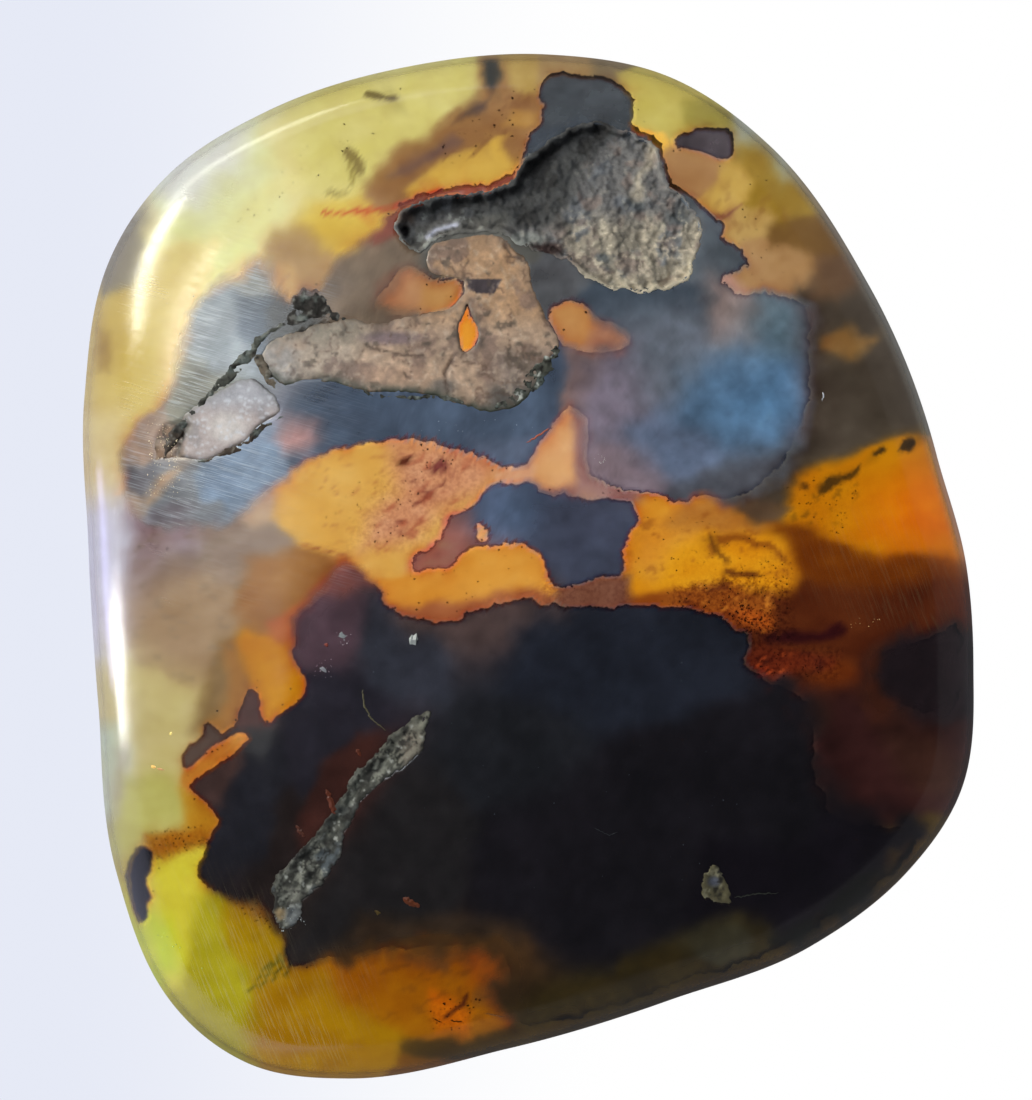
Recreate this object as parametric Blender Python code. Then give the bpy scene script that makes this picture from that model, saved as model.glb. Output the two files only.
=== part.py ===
"""Polished pebble of burmite amber with dark debris, calcite and rock in it.

The pebble lies on its small flat spot, +Z up, with its origin in the middle of
that spot. Lengths here are millimetres until a mesh is made, which is in metres.
"""

import math

import bmesh
import bpy
from mathutils import Vector
from mathutils.geometry import delaunay_2d_cdt

# Driving dimensions, in millimetres
EQUATOR_HEIGHT = 4.0
DOME_RISE = 9.0
ROUNDNESS = 2.4
BELLY_RISE = 1.0
FLAT_SPOT_CUT = 0.05
UNDERSIDE_EDGE = 22.0
PARTING_EDGE = 0.985
PARTING_DEPTH = 3.4
GAP = 0.3

DEBRIS_THICKNESS = 1.0
DEBRIS_SHARE_OF_RIM = 0.35
CALCITE_THICKNESS = 1.2
VEIN_THICKNESS = 1.1
CHIP_THICKNESS = 0.9
PIT_DEPTH = 1.8
PIT_CRUST_THINNEST = 0.35

SEGMENTS = 56
DOME_RINGS = 11
UNDERSIDE_SHARES = [0.975, 0.95, 0.91, 0.86, 0.78, 0.64, 0.44]
SHEET_SPACING = 3.2
SHEET_MARGIN = 1.1

AMBER_IOR = 1.54
METRE = 0.001

# The pebble's edge as seen from above: x, y of points around it
EDGE = [
    (21.9, 0.0), (20.4, 5.6), (17.0, 14.1), (12.0, 21.1), (7.0, 24.5), (1.0, 25.6),
    (-6.0, 25.0), (-13.0, 22.8), (-18.0, 19.6), (-21.0, 15.2), (-22.2, 8.5), (-22.0, 1.0),
    (-21.5, -7.0), (-20.6, -15.3), (-18.0, -21.6), (-14.0, -24.85), (-9.0, -25.6),
    (-1.0, -24.1), (7.0, -21.7), (14.0, -19.05), (19.0, -15.2), (21.7, -11.0), (22.25, -5.0),
]

# Outlines as seen from above, each going round once
UPPER_DEBRIS = [
    (0.6, 23.9), (1.3, 24.5), (2.5, 24.4), (3.9, 24.2), (4.9, 23.8), (5.4, 22.9), (4.9, 21.8),
    (6.3, 21.1), (6.7, 20.0), (7.0, 18.9), (8.2, 18.4), (8.8, 17.5), (9.6, 17.1), (9.4, 16.2),
    (10.4, 15.9), (11.1, 15.2), (10.5, 14.7), (9.2, 14.2), (10.5, 13.5), (13.0, 13.5),
    (14.0, 12.6), (13.9, 9.0), (13.4, 6.6), (11.8, 4.4), (10.2, 3.4), (8.5, 3.5), (7.5, 3.1),
    (6.0, 3.6), (4.0, 4.0), (2.9, 5.0), (2.9, 7.0), (2.2, 8.0), (1.3, 7.4), (0.8, 6.3),
    (0.2, 5.3), (-0.9, 4.9), (-1.7, 5.0), (-2.3, 5.6), (-4.2, 5.9), (-5.2, 6.3), (-8.0, 6.2),
    (-10.5, 5.6), (-12.0, 4.6), (-13.6, 3.6), (-14.6, 2.7), (-17.0, 2.2), (-19.3, 2.3),
    (-19.9, 4.0), (-19.6, 5.5), (-19.2, 7.3), (-18.0, 8.3), (-17.2, 9.6), (-16.4, 12.0),
    (-15.6, 13.2), (-14.2, 14.7), (-13.2, 14.8), (-12.5, 13.4), (-11.8, 12.9), (-11.2, 13.8),
    (-10.2, 13.5), (-9.4, 15.0), (-7.2, 16.3), (-6.8, 17.5), (-6.3, 18.3), (-3.5, 18.7),
    (-1.0, 19.2), (-0.4, 20.0), (0.1, 21.3), (0.9, 22.5),
]
UPPER_DEBRIS_WINDOWS = [
    [(-7.8, 13.0), (-6.7, 14.0), (-5.9, 14.8), (-4.9, 14.3), (-3.3, 14.2), (-3.6, 12.9),
     (-5.0, 12.5), (-7.2, 12.4)],
    [(1.0, 12.2), (1.6, 13.0), (2.5, 13.3), (3.5, 12.7), (4.8, 11.9), (5.1, 11.1), (2.8, 10.6),
     (1.6, 11.4)],
]
SHOULDER_DEBRIS = [
    (7.0, 20.9), (7.3, 21.4), (7.9, 21.8), (9.0, 21.9), (9.9, 21.5), (10.2, 20.9),
    (10.0, 20.3), (9.2, 20.4), (8.2, 20.7),
]
ISLAND_DEBRIS = [
    (-5.9, 0.0), (-5.6, 0.7), (-4.9, 0.8), (-4.2, 1.6), (-4.0, 2.4), (-3.2, 2.6), (-2.0, 3.8),
    (-1.7, 4.25), (-0.8, 4.3), (0.4, 4.1), (0.6, 3.7), (2.6, 3.55), (4.8, 3.3), (5.4, 2.5),
    (5.1, 1.6), (4.7, 0.9), (4.9, 0.2), (4.3, -0.5), (2.6, -0.8), (1.3, -1.0), (0.85, -0.5),
    (0.8, 0.1), (0.3, 0.8), (-0.4, 1.3), (-1.6, 0.95), (-2.7, 1.2), (-3.3, 0.8), (-3.5, 0.1),
    (-5.0, 0.0), (-5.5, -0.45),
]
LOWER_DEBRIS = [
    (-9.4, -0.2), (-8.7, 0.0), (-8.2, -0.7), (-7.5, -1.0), (-7.2, -1.9), (-6.0, -2.5),
    (-4.2, -2.8), (-2.2, -2.2), (-0.6, -1.5), (1.4, -1.9), (5.0, -1.85), (8.4, -2.05),
    (9.6, -2.4), (10.5, -3.3), (11.0, -3.8), (10.7, -4.6), (11.3, -5.4), (12.6, -5.9),
    (14.0, -7.0), (14.2, -12.0), (17.0, -13.0), (19.7, -12.8), (18.9, -14.4), (16.5, -16.5),
    (14.0, -18.0), (11.0, -19.5), (7.0, -20.8), (3.0, -22.1), (0.2, -22.8), (-0.9, -22.0),
    (-0.8, -19.6), (-1.8, -18.6), (-4.5, -18.7), (-8.0, -19.0), (-10.2, -19.3), (-11.6, -19.9),
    (-12.1, -19.4), (-12.0, -18.4), (-12.8, -17.2), (-13.6, -16.3), (-15.2, -16.2),
    (-16.2, -15.8), (-16.5, -15.2), (-16.1, -14.4), (-15.8, -13.4), (-15.3, -12.6),
    (-15.5, -11.9), (-16.4, -11.1), (-16.9, -10.6), (-16.1, -10.3), (-15.3, -9.5), (-15.9, -9.2),
    (-16.7, -9.8), (-17.2, -9.5), (-17.0, -8.7), (-15.4, -7.9), (-14.5, -7.4),
    (-14.0, -6.3), (-13.4, -6.3), (-13.4, -7.2), (-13.0, -7.9), (-12.4, -7.1), (-11.4, -6.3),
    (-10.9, -5.7), (-11.8, -4.6), (-11.5, -3.4), (-11.3, -2.4), (-9.7, -1.2),
]
FANG_DEBRIS = [
    (-19.0, -13.8), (-18.6, -14.3), (-18.8, -15.2), (-18.8, -16.5), (-19.1, -17.8),
    (-19.5, -17.4), (-19.8, -16.4), (-19.9, -15.3), (-19.6, -14.2),
]
RIM_DEBRIS = [
    (21.3, -2.8), (20.4, -3.2), (19.2, -3.9), (17.6, -4.3), (16.9, -5.0), (17.2, -6.2),
    (18.4, -6.9), (20.2, -7.3), (21.1, -7.4), (21.4, -5.5),
]
CALCITE_PATCH = [
    (-4.9, 16.0), (-3.2, 16.3), (-1.8, 16.5), (-1.1, 16.2), (-0.7, 15.6), (0.1, 15.1),
    (0.1, 14.2), (0.5, 13.2), (0.7, 12.4), (1.3, 11.7), (1.6, 11.0), (1.1, 10.2), (0.5, 9.2),
    (-0.1, 8.3), (-0.7, 7.8), (-2.2, 7.6), (-3.6, 8.1), (-5.0, 8.6), (-8.0, 8.6), (-9.8, 9.2),
    (-11.2, 9.1), (-12.0, 8.9), (-12.9, 9.5), (-13.3, 10.4), (-12.8, 11.2), (-11.4, 11.6),
    (-10.2, 12.0), (-8.8, 12.3), (-7.7, 11.9), (-6.2, 12.3), (-4.9, 12.5), (-3.7, 12.8),
    (-3.2, 13.5), (-3.2, 14.3), (-4.5, 14.3), (-5.1, 14.9),
]
CALCITE_TONGUE = [
    (-13.6, 9.4), (-12.8, 8.7), (-12.2, 7.9), (-12.4, 7.3), (-13.3, 6.8), (-14.0, 6.0),
    (-15.0, 5.4), (-16.2, 5.1), (-17.8, 5.3), (-18.7, 5.0), (-18.7, 6.4), (-18.2, 7.2),
    (-17.4, 7.3), (-16.6, 8.0), (-15.4, 8.7), (-14.4, 9.3),
]
PIT_CRUST = [
    (-6.7, 16.6), (-6.6, 17.6), (-4.6, 18.4), (-1.9, 18.6), (-0.9, 19.0), (-0.4, 19.9),
    (0.9, 21.0), (2.6, 22.1), (3.9, 22.0), (5.0, 21.4), (6.3, 21.1), (6.6, 20.0), (6.9, 18.9),
    (8.1, 18.0), (8.7, 16.6), (8.2, 15.2), (8.1, 14.2), (7.0, 13.7), (4.6, 13.6), (3.1, 14.1),
    (2.4, 14.9), (1.1, 15.6), (-0.3, 16.2), (-1.2, 16.9), (-3.2, 16.9), (-4.6, 16.5),
    (-5.5, 15.3), (-6.1, 15.9),
]
VEIN_CRUST = [
    (-4.8, -6.9), (-5.1, -8.2), (-5.3, -9.3), (-6.4, -9.9), (-7.4, -10.7), (-8.3, -11.6),
    (-8.9, -12.5), (-9.2, -13.3), (-9.1, -14.1), (-9.8, -15.1), (-10.3, -15.8), (-11.3, -16.5),
    (-11.2, -17.3), (-12.0, -18.1), (-12.7, -17.4), (-12.5, -16.6), (-12.6, -15.8), (-12.2, -14.8),
    (-11.2, -14.1), (-10.7, -13.3), (-9.8, -12.3), (-9.2, -11.5), (-8.8, -10.6), (-8.1, -9.7),
    (-7.2, -9.1), (-7.0, -8.4), (-6.2, -7.8), (-5.5, -7.3),
]
STONE_CHIP = [
    (9.2, -14.6), (9.8, -15.7), (10.3, -16.6), (9.0, -16.6), (8.4, -16.2), (8.7, -15.4),
]


def clear_scene():
    for item in list(bpy.data.objects):
        bpy.data.objects.remove(item, do_unlink=True)


# The pebble's shape

def edge_radius(angle):
    """Distance from the middle to the pebble's edge, by a smooth curve through EDGE."""
    around = sorted((math.atan2(y, x) % math.tau, math.hypot(x, y)) for x, y in EDGE)
    before = [(a - math.tau, r) for a, r in around[-2:]]
    after = [(a + math.tau, r) for a, r in around[:2]]
    points = before + around + after
    angle %= math.tau
    for i in range(1, len(points) - 2):
        if points[i][0] <= angle <= points[i + 1][0]:
            break
    (a0, r0), (a1, r1), (a2, r2), (a3, r3) = points[i - 1:i + 3]
    span = a2 - a1
    start_slope = (r2 - r0) / (a2 - a0) * span
    end_slope = (r3 - r1) / (a3 - a1) * span
    t = (angle - a1) / span
    return (
        (2 * t**3 - 3 * t**2 + 1) * r1
        + (t**3 - 2 * t**2 + t) * start_slope
        + (-2 * t**3 + 3 * t**2) * r2
        + (t**3 - t**2) * end_slope
    )


def share_of_edge(x, y):
    """0 in the middle of the pebble and 1 at its edge."""
    return math.hypot(x, y) / edge_radius(math.atan2(y, x))


def falloff(share):
    return math.sqrt(max(0.0, 1.0 - share**ROUNDNESS))


def dome_height(share):
    return EQUATOR_HEIGHT + DOME_RISE * falloff(share)


def underside_height(share):
    """A shallow belly that turns up towards the edge, cut flat in the middle."""
    turn = 1 - math.sqrt(max(0.0, 1 - share**UNDERSIDE_EDGE))
    rest = EQUATOR_HEIGHT - BELLY_RISE + FLAT_SPOT_CUT
    return max(0.0, BELLY_RISE * share**2 - FLAT_SPOT_CUT + rest * turn)


def parting_height(share):
    """The domed surface along which the stone is parted, under the dome."""
    low = underside_height(PARTING_EDGE)
    rise = dome_height(0.0) - PARTING_DEPTH - low
    return low + rise * falloff(min(share / PARTING_EDGE, 1.0))


def dome_z(x, y):
    return dome_height(share_of_edge(x, y))


def parting_z(x, y):
    return parting_height(share_of_edge(x, y))


def debris_thickness(x, y):
    """Thinner towards the rim, where the lower half runs out."""
    room = parting_z(x, y) - underside_height(share_of_edge(x, y))
    return min(DEBRIS_THICKNESS, DEBRIS_SHARE_OF_RIM * room)


def dome_normal(x, y):
    step = 0.05
    slope_x = (dome_z(x + step, y) - dome_z(x - step, y)) / (2 * step)
    slope_y = (dome_z(x, y + step) - dome_z(x, y - step)) / (2 * step)
    return Vector((-slope_x, -slope_y, 1.0)).normalized()


def place_under_dome(x, y):
    """Where a thing on the parting surface lies if it is seen at x, y from above.

    A line of sight straight down bends inwards as it enters the dome.
    """
    normal = dome_normal(x, y)
    tilt_outside = math.acos(min(1.0, normal.z))
    if tilt_outside < 0.001:
        return x, y
    tilt_inside = math.asin(math.sin(tilt_outside) / AMBER_IOR)
    lean = math.tan(tilt_outside - tilt_inside)
    inwards = Vector((-normal.x, -normal.y)).normalized()
    place = Vector((x, y))
    for _ in range(6):
        depth = dome_z(x, y) - parting_z(place.x, place.y)
        place = Vector((x, y)) + inwards * lean * max(depth, 0.0)
    return place.x, place.y


# Meshes

def mesh_object(name, vertices, faces, material, smooth=True):
    mesh = bpy.data.meshes.new(name)
    mesh.from_pydata([Vector(v) * METRE for v in vertices], [], faces)
    shape = bmesh.new()
    shape.from_mesh(mesh)
    bmesh.ops.triangulate(shape, faces=[f for f in shape.faces if len(f.verts) == 4])
    bmesh.ops.recalc_face_normals(shape, faces=shape.faces)
    shape.to_mesh(mesh)
    shape.free()
    if smooth:
        mesh.shade_smooth()
        mesh.set_sharp_from_angle(angle=math.radians(40))
    if material is not None:
        mesh.materials.append(material)
    item = bpy.data.objects.new(name, mesh)
    bpy.context.scene.collection.objects.link(item)
    return item


def ring_points(share, height):
    """One ring of points round the pebble at a share of its edge."""
    points = []
    for i in range(SEGMENTS):
        angle = math.tau * i / SEGMENTS
        radius = share * edge_radius(angle)
        points.append((radius * math.cos(angle), radius * math.sin(angle), height))
    return points


def skin_of_rings(name, rings, first_pole, last_pole, material):
    """A closed skin over rings of points; a pole of None closes that end flat."""
    vertices = [point for ring in rings for point in ring]
    faces = []
    for k in range(len(rings) - 1):
        for i in range(SEGMENTS):
            j = (i + 1) % SEGMENTS
            faces.append((
                k * SEGMENTS + i, k * SEGMENTS + j,
                (k + 1) * SEGMENTS + j, (k + 1) * SEGMENTS + i,
            ))
    for start, pole in ((0, first_pole), ((len(rings) - 1) * SEGMENTS, last_pole)):
        if pole is None:
            faces.append(tuple(range(start, start + SEGMENTS)))
            continue
        vertices.append(pole)
        for i in range(SEGMENTS):
            faces.append((start + i, start + (i + 1) % SEGMENTS, len(vertices) - 1))
    return mesh_object(name, vertices, faces, material)


def dome_shares():
    """Ring shares that crowd towards the edge, where the dome turns down."""
    return [math.sin(0.5 * math.pi * (k + 1) / DOME_RINGS) for k in range(DOME_RINGS)]


def parting_rings(lift):
    """Rings of the parting surface, from its edge inwards."""
    shares = [PARTING_EDGE * share for share in reversed(dome_shares())]
    return [ring_points(share, parting_height(share) + lift) for share in shares]


def amber_top():
    rings = [ring_points(share, dome_height(share)) for share in dome_shares()]
    rings += parting_rings(0.0)
    return skin_of_rings(
        "amber_top", rings, (0, 0, dome_height(0)), (0, 0, parting_height(0)), amber_material())


def amber_bottom():
    rings = list(reversed(parting_rings(-GAP)))
    flat_share = math.sqrt(FLAT_SPOT_CUT / BELLY_RISE)
    for share in UNDERSIDE_SHARES:
        rings.append(ring_points(share, underside_height(share)))
    rings.append(ring_points(flat_share, 0.0))
    return skin_of_rings(
        "amber_bottom", rings, (0, 0, parting_height(0) - GAP), None, amber_material())


# Sheets cut to an outline

def inside(point, outline):
    x, y = point
    hit = False
    for (x0, y0), (x1, y1) in zip(outline, outline[1:] + outline[:1]):
        if (y0 > y) != (y1 > y) and x < x0 + (y - y0) / (y1 - y0) * (x1 - x0):
            hit = not hit
    return hit


def distance_to(point, outline):
    here = Vector(point)
    nearest = math.inf
    for start, end in zip(outline, outline[1:] + outline[:1]):
        a, b = Vector(start), Vector(end)
        along = max(0.0, min(1.0, (here - a).dot(b - a) / (b - a).length_squared))
        nearest = min(nearest, (here - a - (b - a) * along).length)
    return nearest


def turns_left(outline):
    return sum(x0 * y1 - x1 * y0 for (x0, y0), (x1, y1)
               in zip(outline, outline[1:] + outline[:1])) > 0


def grown(outline, gap):
    """The outline moved outwards by a gap, its sharp corners less so."""
    if not turns_left(outline):
        outline = outline[::-1]
    moved = []
    for before, here, after in zip(outline[-1:] + outline[:-1], outline, outline[1:] + outline[:1]):
        a = (Vector(here) - Vector(before)).normalized()
        b = (Vector(after) - Vector(here)).normalized()
        out = Vector((a.y + b.y, -a.x - b.x))
        out.normalize()
        stretch = min(1.6, 1.0 / max(0.1, out.dot(Vector((a.y, -a.x)))))
        moved.append(tuple(Vector(here) + out * gap * stretch))
    return moved


def points_inside(outline, windows, spacing, margin):
    """A staggered grid of points inside the outline, clear of every edge."""
    xs = [p[0] for p in outline]
    ys = [p[1] for p in outline]
    found = []
    row = 0
    y = min(ys)
    while y < max(ys):
        x = min(xs) + (spacing / 2 if row % 2 else 0)
        while x < max(xs):
            clear = inside((x, y), outline) and distance_to((x, y), outline) > margin
            for window in windows:
                if inside((x, y), window) or distance_to((x, y), window) < margin:
                    clear = False
            if clear:
                found.append((x, y))
            x += spacing
        y += spacing * 0.866
        row += 1
    return found


def slab(name, outline, windows, low, high, material, spacing=SHEET_SPACING, margin=SHEET_MARGIN):
    """A closed slab between two surfaces, cut to an outline with windows in it."""
    loops = [outline] + windows
    flat = []
    edges = []
    for loop in loops:
        start = len(flat)
        flat += [Vector(p) for p in loop]
        edges += [(start + i, start + (i + 1) % len(loop)) for i in range(len(loop))]
    flat += [Vector(p) for p in points_inside(outline, windows, spacing, margin)]
    points, _, triangles, _, _, _ = delaunay_2d_cdt(flat, edges, [], 1, 0.0001, True)
    kept = []
    for triangle in triangles:
        middle = sum((points[i] for i in triangle), Vector((0, 0))) / len(triangle)
        if inside(middle, outline) and not any(inside(middle, w) for w in windows):
            kept.append(tuple(triangle))
    count = len(points)
    vertices = [(p.x, p.y, high(p.x, p.y)) for p in points]
    vertices += [(p.x, p.y, low(p.x, p.y)) for p in points]
    faces = list(kept)
    faces += [tuple(i + count for i in reversed(triangle)) for triangle in kept]
    uses = {}
    for triangle in kept:
        for i, j in zip(triangle, triangle[1:] + triangle[:1]):
            uses[(i, j)] = True
    for i, j in list(uses):
        if (j, i) not in uses:
            faces.append((j, i, i + count, j + count))
    return mesh_object(name, vertices, faces, material, smooth=False)


def cut(stone, cutter):
    cutter.hide_render = True
    cutter.display_type = "WIRE"
    pocket = stone.modifiers.new("pocket", "BOOLEAN")
    pocket.operation = "DIFFERENCE"
    pocket.solver = "EXACT"
    pocket.object = cutter


# Debris sealed in pockets of the lower half

def seal_debris(name, seen_outline, seen_windows, bottom, material):
    outline = [place_under_dome(x, y) for x, y in seen_outline]
    windows = [[place_under_dome(x, y) for x, y in w] for w in seen_windows]
    slab(
        name, outline, windows,
        lambda x, y: parting_z(x, y) - GAP - debris_thickness(x, y),
        lambda x, y: parting_z(x, y) - GAP,
        material,
    )
    pocket = slab(
        name + "_pocket_cutter", grown(outline, GAP), [grown(w, -GAP) for w in windows],
        lambda x, y: parting_z(x, y) - 2 * GAP - debris_thickness(x, y),
        lambda x, y: parting_z(x, y) + 1.0,
        None,
    )
    cut(bottom, pocket)


# Minerals set into the dome

def set_mineral(name, outline, top, floor_depth, crown, material, spacing):
    """A mineral in a recess of the dome; crown gives its top's depth under the polish."""
    slab(
        name, outline, [],
        lambda x, y: dome_z(x, y) - floor_depth,
        crown, material, spacing=spacing, margin=spacing * 0.4,
    )
    recess = slab(
        name + "_recess_cutter", grown(outline, GAP), [],
        lambda x, y: dome_z(x, y) - floor_depth - GAP,
        lambda x, y: dome_z(x, y) + 2.0,
        None,
    )
    cut(top, recess)


def rock_relief(x, y, size):
    """Lumpy relief between 0 and 1, made of crossing waves."""
    wave = (
        math.sin(2.1 * x / size + 1.3 * math.sin(1.7 * y / size))
        + math.sin(2.6 * y / size + 1.1 * math.sin(1.9 * x / size + 0.7))
        + 0.6 * math.sin(4.3 * (x - y) / size)
    )
    return 0.5 + wave / 5.2


def pit_floor(x, y):
    """The rock in the pit: deep under the black wall at the upper left, higher at the right."""
    towards_wall = max(0.0, min(1.0, 0.5 - 0.12 * (x - 2.5) + 0.10 * (y - 17.5)))
    depth = 0.35 + 0.65 * towards_wall + 0.45 * (1 - rock_relief(x, y, 1.4))
    return dome_z(x, y) - min(depth, PIT_DEPTH - PIT_CRUST_THINNEST)


def vein_crown(x, y):
    return dome_z(x, y) - 0.05 - 0.35 * rock_relief(x, y, 0.9)


def flush_crown(x, y):
    return dome_z(x, y)


# Materials

def plain_material(name, colour, roughness):
    material = bpy.data.materials.new(name)
    material.use_nodes = True
    shader = material.node_tree.nodes["Principled BSDF"]
    shader.inputs["Base Color"].default_value = (*colour, 1.0)
    shader.inputs["Roughness"].default_value = roughness
    shader.inputs["Metallic"].default_value = 0.0
    return material


def amber_material():
    material = plain_material("amber", (0.86, 0.62, 0.12), 0.05)
    shader = material.node_tree.nodes["Principled BSDF"]
    shader.inputs["Transmission Weight"].default_value = 1.0
    shader.inputs["IOR"].default_value = AMBER_IOR
    return material


def build():
    clear_scene()
    slate = (0.045, 0.065, 0.10)
    black = (0.010, 0.010, 0.014)
    calcite = (0.42, 0.33, 0.28)

    bottom = amber_bottom()
    seal_debris("upper_debris", UPPER_DEBRIS, UPPER_DEBRIS_WINDOWS, bottom,
                plain_material("upper_debris", slate, 0.5))
    seal_debris("shoulder_debris", SHOULDER_DEBRIS, [], bottom,
                plain_material("shoulder_debris", black, 0.5))
    seal_debris("island_debris", ISLAND_DEBRIS, [], bottom,
                plain_material("island_debris", slate, 0.5))
    seal_debris("lower_debris", LOWER_DEBRIS, [], bottom,
                plain_material("lower_debris", black, 0.5))
    seal_debris("fang_debris", FANG_DEBRIS, [], bottom,
                plain_material("fang_debris", black, 0.5))
    seal_debris("rim_debris", RIM_DEBRIS, [], bottom,
                plain_material("rim_debris", black, 0.5))

    top = amber_top()
    set_mineral("pit_crust", PIT_CRUST, top, PIT_DEPTH, pit_floor,
                plain_material("pit_crust", (0.23, 0.21, 0.17), 0.85), 1.1)
    set_mineral("calcite_patch", CALCITE_PATCH, top, CALCITE_THICKNESS, flush_crown,
                plain_material("calcite_patch", calcite, 0.4), 2.2)
    set_mineral("calcite_tongue", CALCITE_TONGUE, top, CALCITE_THICKNESS, flush_crown,
                plain_material("calcite_tongue", (0.50, 0.46, 0.44), 0.4), 2.0)
    set_mineral("vein_crust", VEIN_CRUST, top, VEIN_THICKNESS, vein_crown,
                plain_material("vein_crust", (0.20, 0.22, 0.19), 0.85), 0.9)
    set_mineral("stone_chip", STONE_CHIP, top, CHIP_THICKNESS, vein_crown,
                plain_material("stone_chip", (0.20, 0.19, 0.16), 0.85), 0.9)


build()
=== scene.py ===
"""Looks of the burmite amber pebble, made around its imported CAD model."""
import json
import math

import bpy
import numpy as np
from mathutils import Matrix, Vector
from mathutils.geometry import delaunay_2d_cdt


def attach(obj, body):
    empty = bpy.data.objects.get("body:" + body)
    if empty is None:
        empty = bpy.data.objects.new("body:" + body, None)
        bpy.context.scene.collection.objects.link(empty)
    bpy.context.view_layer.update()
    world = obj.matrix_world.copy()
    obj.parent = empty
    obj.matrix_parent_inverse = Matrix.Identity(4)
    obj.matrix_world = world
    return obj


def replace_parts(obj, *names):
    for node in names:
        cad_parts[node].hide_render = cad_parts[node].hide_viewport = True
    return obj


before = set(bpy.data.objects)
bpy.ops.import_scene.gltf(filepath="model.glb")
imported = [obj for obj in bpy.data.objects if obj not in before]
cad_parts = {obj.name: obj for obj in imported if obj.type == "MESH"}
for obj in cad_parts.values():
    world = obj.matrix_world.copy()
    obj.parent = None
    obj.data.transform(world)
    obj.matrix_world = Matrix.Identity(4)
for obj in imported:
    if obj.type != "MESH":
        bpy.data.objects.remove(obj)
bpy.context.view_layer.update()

MM = 0.001


# Readers of the tables below

def places(text):
    """Places written as "x,y", in millimetres. What else belongs to a place follows after more commas."""
    return [tuple(float(number) for number in place.split(",")) for place in text.split()]


def rows(text):
    """Rows of fields parted by "|". An indented line goes on with the row above it."""
    return [row.split("|") for row in text.strip().replace("\n ", " ").splitlines()]


def zones(text):
    """Rows of "settings | outline" or of "name | settings | outline"."""
    found = []
    for *names, settings, outline in rows(text):
        settings = [part if part[0] == "#" else json.loads(part) for part in settings.split()]
        found.append((*names, *settings, places(outline)))
    return found


# The pebble's shape, with the values of part.py, in millimetres
EQUATOR = 4.0
DOME_RISE = 9.0
ROUNDNESS = 2.4
BELLY = 1.0
FLAT_CUT = 0.05
UNDERSIDE_EDGE = 22.0
PARTING_EDGE = 0.985
PARTING_DEPTH = 3.4
GAP = 0.3
PIT_DEPTH = 1.8
AMBER_IOR = 1.54
EDGE = places("""
    21.9,0 20.4,5.6 17,14.1 12,21.1 7,24.5 1,25.6 -6,25 -13,22.8 -18,19.6 -21,15.2 -22.2,8.5 -22,1 -21.5,-7
    -20.6,-15.3 -18,-21.6 -14,-24.85 -9,-25.6 -1,-24.1 7,-21.7 14,-19.05 19,-15.2 21.7,-11 22.25,-5
""")

# Outlines as seen from above
UPPER_DEBRIS = places("""
    0.6,23.9 1.3,24.5 2.5,24.4 3.9,24.2 4.9,23.8 5.4,22.9 4.9,21.8 6.3,21.1 6.7,20 7,18.9 8.2,18.4 8.8,17.5
    9.6,17.1 9.4,16.2 10.4,15.9 11.1,15.2 10.5,14.7 9.2,14.2 10.5,13.5 13,13.5 14,12.6 13.9,9 13.4,6.6
    11.8,4.4 10.2,3.4 8.5,3.5 7.5,3.1 6,3.6 4,4 2.9,5 2.9,7 2.2,8 1.3,7.4 0.8,6.3 0.2,5.3 -0.9,4.9 -1.7,5
    -2.3,5.6 -4.2,5.9 -5.2,6.3 -8,6.2 -10.5,5.6 -12,4.6 -13.6,3.6 -14.6,2.7 -17,2.2 -19.3,2.3 -19.9,4
    -19.6,5.5 -19.2,7.3 -18,8.3 -17.2,9.6 -16.4,12 -15.6,13.2 -14.2,14.7 -13.2,14.8 -12.5,13.4 -11.8,12.9
    -11.2,13.8 -10.2,13.5 -9.4,15 -7.2,16.3 -6.8,17.5 -6.3,18.3 -3.5,18.7 -1,19.2 -0.4,20 0.1,21.3 0.9,22.5
""")
LEFT_WINDOW = places("""
    -7.9,13 -6.9,14 -6.1,15 -5.2,14.6 -4.6,14.2 -3.3,14.2 -3.2,13.4 -3.5,12.9 -5,12.5 -7.2,12.3
""")
RIGHT_WINDOW = places("""
    0.95,12.2 1.1,12.9 2.2,13.25 3.3,12.7 3.6,12.2 4.7,11.9 5.2,11.3 4.6,10.7 2.8,10.5 1.7,10.9
""")
DROP_WINDOW = places("""
    -3,13.2 -2.85,12.4 -2.45,11.8 -2.45,11.2 -2.9,10.6 -3.3,10.55 -3.4,11.2 -3.55,11.8 -3.2,12.5
""")
SHOULDER_DEBRIS = places("7,20.9 7.3,21.4 7.9,21.8 9,21.9 9.9,21.5 10.2,20.9 10,20.3 9.2,20.4 8.2,20.7")
ISLAND_DEBRIS = places("""
    -5.9,0 -5.6,0.7 -4.9,0.8 -4.2,1.6 -4,2.4 -3.2,2.6 -2,3.8 -1.7,4.25 -0.8,4.3 0.4,4.1 0.6,3.7 2.6,3.55
    4.8,3.3 5.4,2.5 5.1,1.6 4.7,0.9 4.9,0.2 4.3,-0.5 2.6,-0.8 1.3,-1 0.85,-0.5 0.8,0.1 0.3,0.8 -0.4,1.3
    -1.6,0.95 -2.7,1.2 -3.3,0.8 -3.5,0.1 -5,0 -5.5,-0.45
""")
NOTCH_WINDOW = places("-2.75,2.1 -2.1,2.05 -1.95,1.5 -2.15,1.25 -2.6,1.3 -2.6,1.7")
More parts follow.
